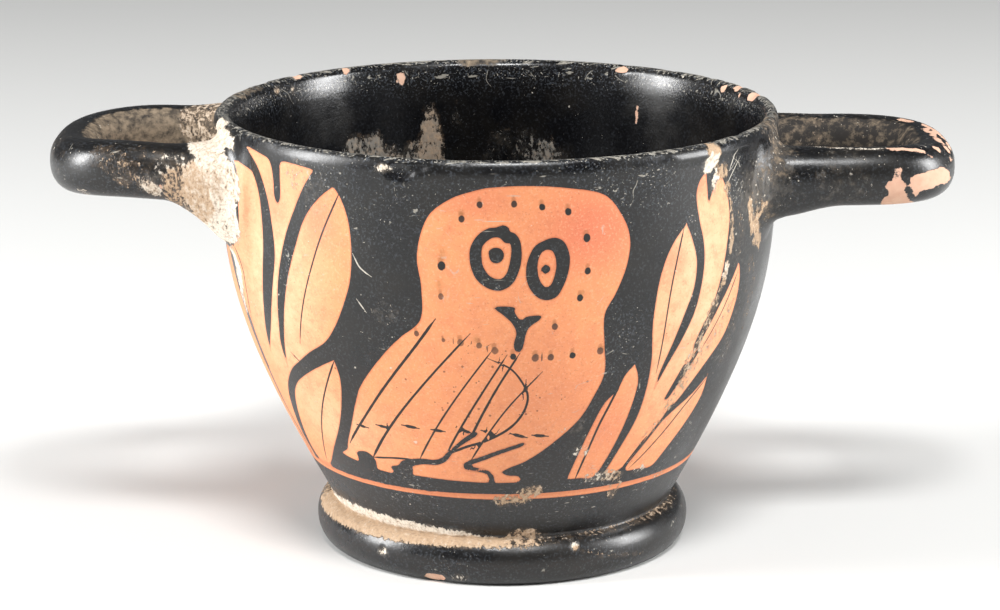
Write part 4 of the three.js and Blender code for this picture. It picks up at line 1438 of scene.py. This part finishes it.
# painted sheen: a bright bluish-grey grain on the slip stands in for the soft sheen of the gloss
sheen_grain = add("MapRange", {"Value": grain, "From Min": 0.52, "From Max": 0.68, "To Max": 0.85})
sheen_grain = add("Math", {0: sheen_grain, 1: stored["wear_and_sheen"]}, operation="MULTIPLY")
speck = torn(stored["wear_and_sheen"], stipple, 3, 1.05, 1.35, most=0.7)
for share, colour in ((sheen_grain, "#5B6067"), (speck, "#B9B4A9")):
    slip = add("Mix", {0: share, 6: slip, 7: colour}, **COLOUR)
surface = add("Mix", {0: bare, 6: slip, 7: clay}, **COLOUR)

hair_noise = add("TexNoise", {"Vector": place, "Scale": per(7), "Detail": 1.2, "Roughness": 0.5})
hair_middle = add("Math", {0: hair_noise, 1: 0.5}, operation="SUBTRACT")
hair_off = add("Math", {0: hair_middle}, operation="ABSOLUTE")
hair = add("MapRange", {"Value": hair_off, "From Min": 0.007, "From Max": 0.003})
hair_where = torn(stored["wear_and_sheen"], blots, 2.5, 0.58, 0.8)
hair = add("Math", {0: hair, 1: hair_where}, operation="MULTIPLY")
turned_place = add("Mapping", {"Vector": place, "Rotation": (0.5, 0.9, 0.4), "Scale": (0.1, 1, 1)})
dashes_noise = add("TexNoise", {"Vector": turned_place, "Scale": per(0.6), "Detail": 2})
dashes = torn(stored["wear_and_sheen"], dashes_noise, 3, 1.0, 1.15)
scratch = add("Math", {0: hair, 1: dashes}, operation="MAXIMUM")
scratch = add("Math", {0: scratch, 1: 0.5}, operation="MULTIPLY")
scratch = add("Math", {0: scratch, 1: inside_line("scratches", crumb)}, operation="MAXIMUM")

# %% [markdown]
# What lies on top
# Where the slip flaked away the clay shows, paler and rough. Then come the soils: a film of dust
# round the handles, brown dirt, cream lime that ends in crumbs, and loose flecks over everything.

# %% Flaked slip, dust and dirt
flaked = torn(stored["flaked"], crumb, 1.3, -0.06, 0.06)
flaked_clay = add("Mix", {0: blots, 6: "#B78069", 7: "#E0C0A6"}, **COLOUR)
dusty = torn(stored["dust"], crumble, 1.6, 0.35, 0.95, most=0.45)
dirty = torn(stored["dirt"], crumb, 1.2, 0.3, 0.6, most=0.9)
dirt_tone = add("Math", {0: stored["tone"], 1: 0.3, 2: crumb}, operation="MULTIPLY_ADD")
dirt_tone = add("MapRange", {"Value": dirt_tone, "From Min": 0.56, "From Max": 0.84})
dirt_colour = add("Mix", {0: dirt_tone, 6: "#241F1B", 7: "#8F7E69"}, **COLOUR)
damp = add("MapRange", {"Value": blots, "From Min": 0.46, "From Max": 0.36, "To Max": 0.75})
dirt_colour = add("Mix", {0: damp, 6: dirt_colour, 7: "#1D1916"}, **COLOUR)

# %% Lime and flecks
LIME_CRUMBS = 2.3
crust = torn(stored["crust"], crumble, LIME_CRUMBS, -0.08, 0.08)
film = torn(stored["crust"], crumb, 2.4, -0.5, 0.9, most=0.3)
tan_share = torn(stored["tone"], crumb, 0.5, 0.1, 0.45)
cream_share = torn(stored["tone"], crumble, 1.2, 0.5, 0.95)
lime_grit = add("MapRange", {"Value": grain, "From Min": 0.5, "From Max": 0.36, "To Max": 0.5})
lime_colour = "#77736C"
for share, colour in ((tan_share, "#B3977A"), (cream_share, "#DDD3C4"), (lime_grit, "#8B755E")):
    lime_colour = add("Mix", {0: share, 6: lime_colour, 7: colour}, **COLOUR)

loose = add("Math", {0: stored["dust"], 1: 0.35, 2: blots}, operation="MULTIPLY_ADD")
fine_cells = add("TexVoronoi", {"Vector": place, "Scale": per(1.0), "Randomness": 1.0})
fine_size = add("MapRange", {"Value": loose, "From Min": 0.5, "From Max": 0.9, "To Max": 0.24})
fine_fleck = add("Math", {0: fine_cells, 1: fine_size}, operation="LESS_THAN")
big_cells = add("TexVoronoi", {"Vector": place, "Scale": per(4.4), "Randomness": 1.0})
big_size = add("MapRange", {"Value": crumb, "From Min": 0.5, "From Max": 0.75, "To Max": 0.12})
big_fleck = add("Math", {0: big_cells, 1: big_size}, operation="LESS_THAN")
fleck = add("Math", {0: fine_fleck, 1: big_fleck}, operation="MAXIMUM")
fleck_share = add("Math", {0: fleck, 1: 0.62}, operation="MULTIPLY")
ON_SURFACE = [
    # how much of it lies there, colour: from the lowest to the uppermost
    (scratch, "#B5AFA3"), (flaked, flaked_clay), (dusty, "#766F66"), (dirty, dirt_colour),
    (film, lime_colour), (crust, lime_colour), (fleck_share, "#D9D0C1"),
]
for share, colour in ON_SURFACE:
    surface = add("Mix", {0: share, 6: surface, 7: colour}, **COLOUR)

# %% [markdown]
# Gloss and relief
# The slip shines softly, less where it is thin or rubbed, and everything bare or crusted is dull.
# Relief too fine for the mesh goes into a bump node, in real depths: the slip stands a hundredth
# of a mm above the clay, the wheel left marks of about the same depth, and lime is lumpy.

# %% Gloss and relief
SLIP_DEPTH = 0.012
WHEEL_DEPTH = 0.016
GRAIN_DEPTH = 0.022
FLAKE_DEPTH = 0.05
LIME_DEPTH = 0.2
CLAY_ROUGHNESS = 0.5
SOIL_ROUGHNESS = 0.85
gloss = {"Value": clouds, "From Min": 0.35, "From Max": 0.7, "To Min": 0.24, "To Max": 0.4}
gloss = add("MapRange", gloss)
rough = add("Math", {0: stored["matte"], 1: 0.3, 2: gloss}, operation="MULTIPLY_ADD")
rough = add("Mix", {0: bare, 2: rough, 3: CLAY_ROUGHNESS}, data_type="FLOAT")
dull = crust
for share in (flaked, dirty, fleck):
    dull = add("Math", {0: dull, 1: share}, operation="MAXIMUM")
rough = add("Mix", {0: dull, 2: rough, 3: SOIL_ROUGHNESS}, data_type="FLOAT")

lumps = add("Math", {0: crumble, 1: crust}, operation="MULTIPLY")
relief = add("Math", {0: bare, 1: -SLIP_DEPTH}, operation="MULTIPLY")
DEPTHS = [
    (wheel_marks, WHEEL_DEPTH), (grain, GRAIN_DEPTH), (flaked, -FLAKE_DEPTH), (lumps, LIME_DEPTH),
]
for pattern, depth in DEPTHS:
    relief = add("Math", {0: pattern, 1: depth, 2: relief}, operation="MULTIPLY_ADD")
bumped = add("Bump", {"Height": relief, "Distance": MM, "Strength": 1.0})
shader = {"Base Color": surface, "Roughness": rough, "Normal": bumped, "IOR": 1.5}
shader = add("BsdfPrincipled", shader)
add("OutputMaterial", {"Surface": shader})
cup.data.materials.clear()
cup.data.materials.append(fired)
print("material", fired.name, "with", len(nodes.nodes), "nodes")

# %% [markdown]
# Floor and light
# A plain pale table, a low soft box on each side and a small one high in front, as for a
# catalogue picture. The gloss needs something to mirror: the side boxes give the highlights on
# handles, foot and inner wall, and the front one the thin bright line along the lip.

# %% Floor and light
FLOOR_HALF = 4.0
floor_mesh = bpy.data.meshes.new("floor")
floor_corners = [
    (-FLOOR_HALF, -FLOOR_HALF, 0), (FLOOR_HALF, -FLOOR_HALF, 0), (FLOOR_HALF, FLOOR_HALF, 0),
    (-FLOOR_HALF, FLOOR_HALF, 0),
]
floor_mesh.from_pydata(floor_corners, [], [(0, 1, 2, 3)])
floor = bpy.data.objects.new("floor", floor_mesh)
bpy.context.scene.collection.objects.link(floor)
table = bpy.data.materials.new("white_table")
table.use_nodes = True
table_shader = table.node_tree.nodes["Principled BSDF"]
table_shader.inputs["Base Color"].default_value = linear("#dcdcda")
table_shader.inputs["Roughness"].default_value = 0.7
floor.data.materials.append(table)

SOFT_BOXES = {
    # name: place in m, half width and half height in m, power in W
    "left box": ((-0.88, -0.16, 0.33), (0.13, 0.26), 13.5),
    "right box": ((0.9, -0.08, 0.32), (0.13, 0.26), 11.5),
    "front box": ((0.06, -0.6, 1.05), (0.2, 0.1), 13),
}
AIM = Vector((0, 0, 0.04))
for name, (box_place, half, power) in SOFT_BOXES.items():
    light = bpy.data.lights.new(name, "AREA")
    light.shape = "RECTANGLE"
    light.size, light.size_y = half[0] * 2, half[1] * 2
    light.energy = power
    box = bpy.data.objects.new(name, light)
    box.location = box_place
    box.rotation_euler = (AIM - Vector(box_place)).to_track_quat("-Z", "Y").to_euler()
    box.visible_camera = False
    bpy.context.scene.collection.objects.link(box)

world = bpy.data.worlds.new("studio")
world.use_nodes = True
world.node_tree.nodes["Background"].inputs["Color"].default_value = linear("#c8cacd")
world.node_tree.nodes["Background"].inputs["Strength"].default_value = 0.2
bpy.context.scene.world = world
bpy.context.scene.view_settings.view_transform = "Standard"
print("lights:", ", ".join(SOFT_BOXES))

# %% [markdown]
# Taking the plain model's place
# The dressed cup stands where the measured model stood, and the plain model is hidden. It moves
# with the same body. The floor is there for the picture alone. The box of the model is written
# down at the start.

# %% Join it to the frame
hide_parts("skyphos")
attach(cup, "root")

print("triangles:", sum(len(p.vertices) - 2 for p in cup.data.polygons))
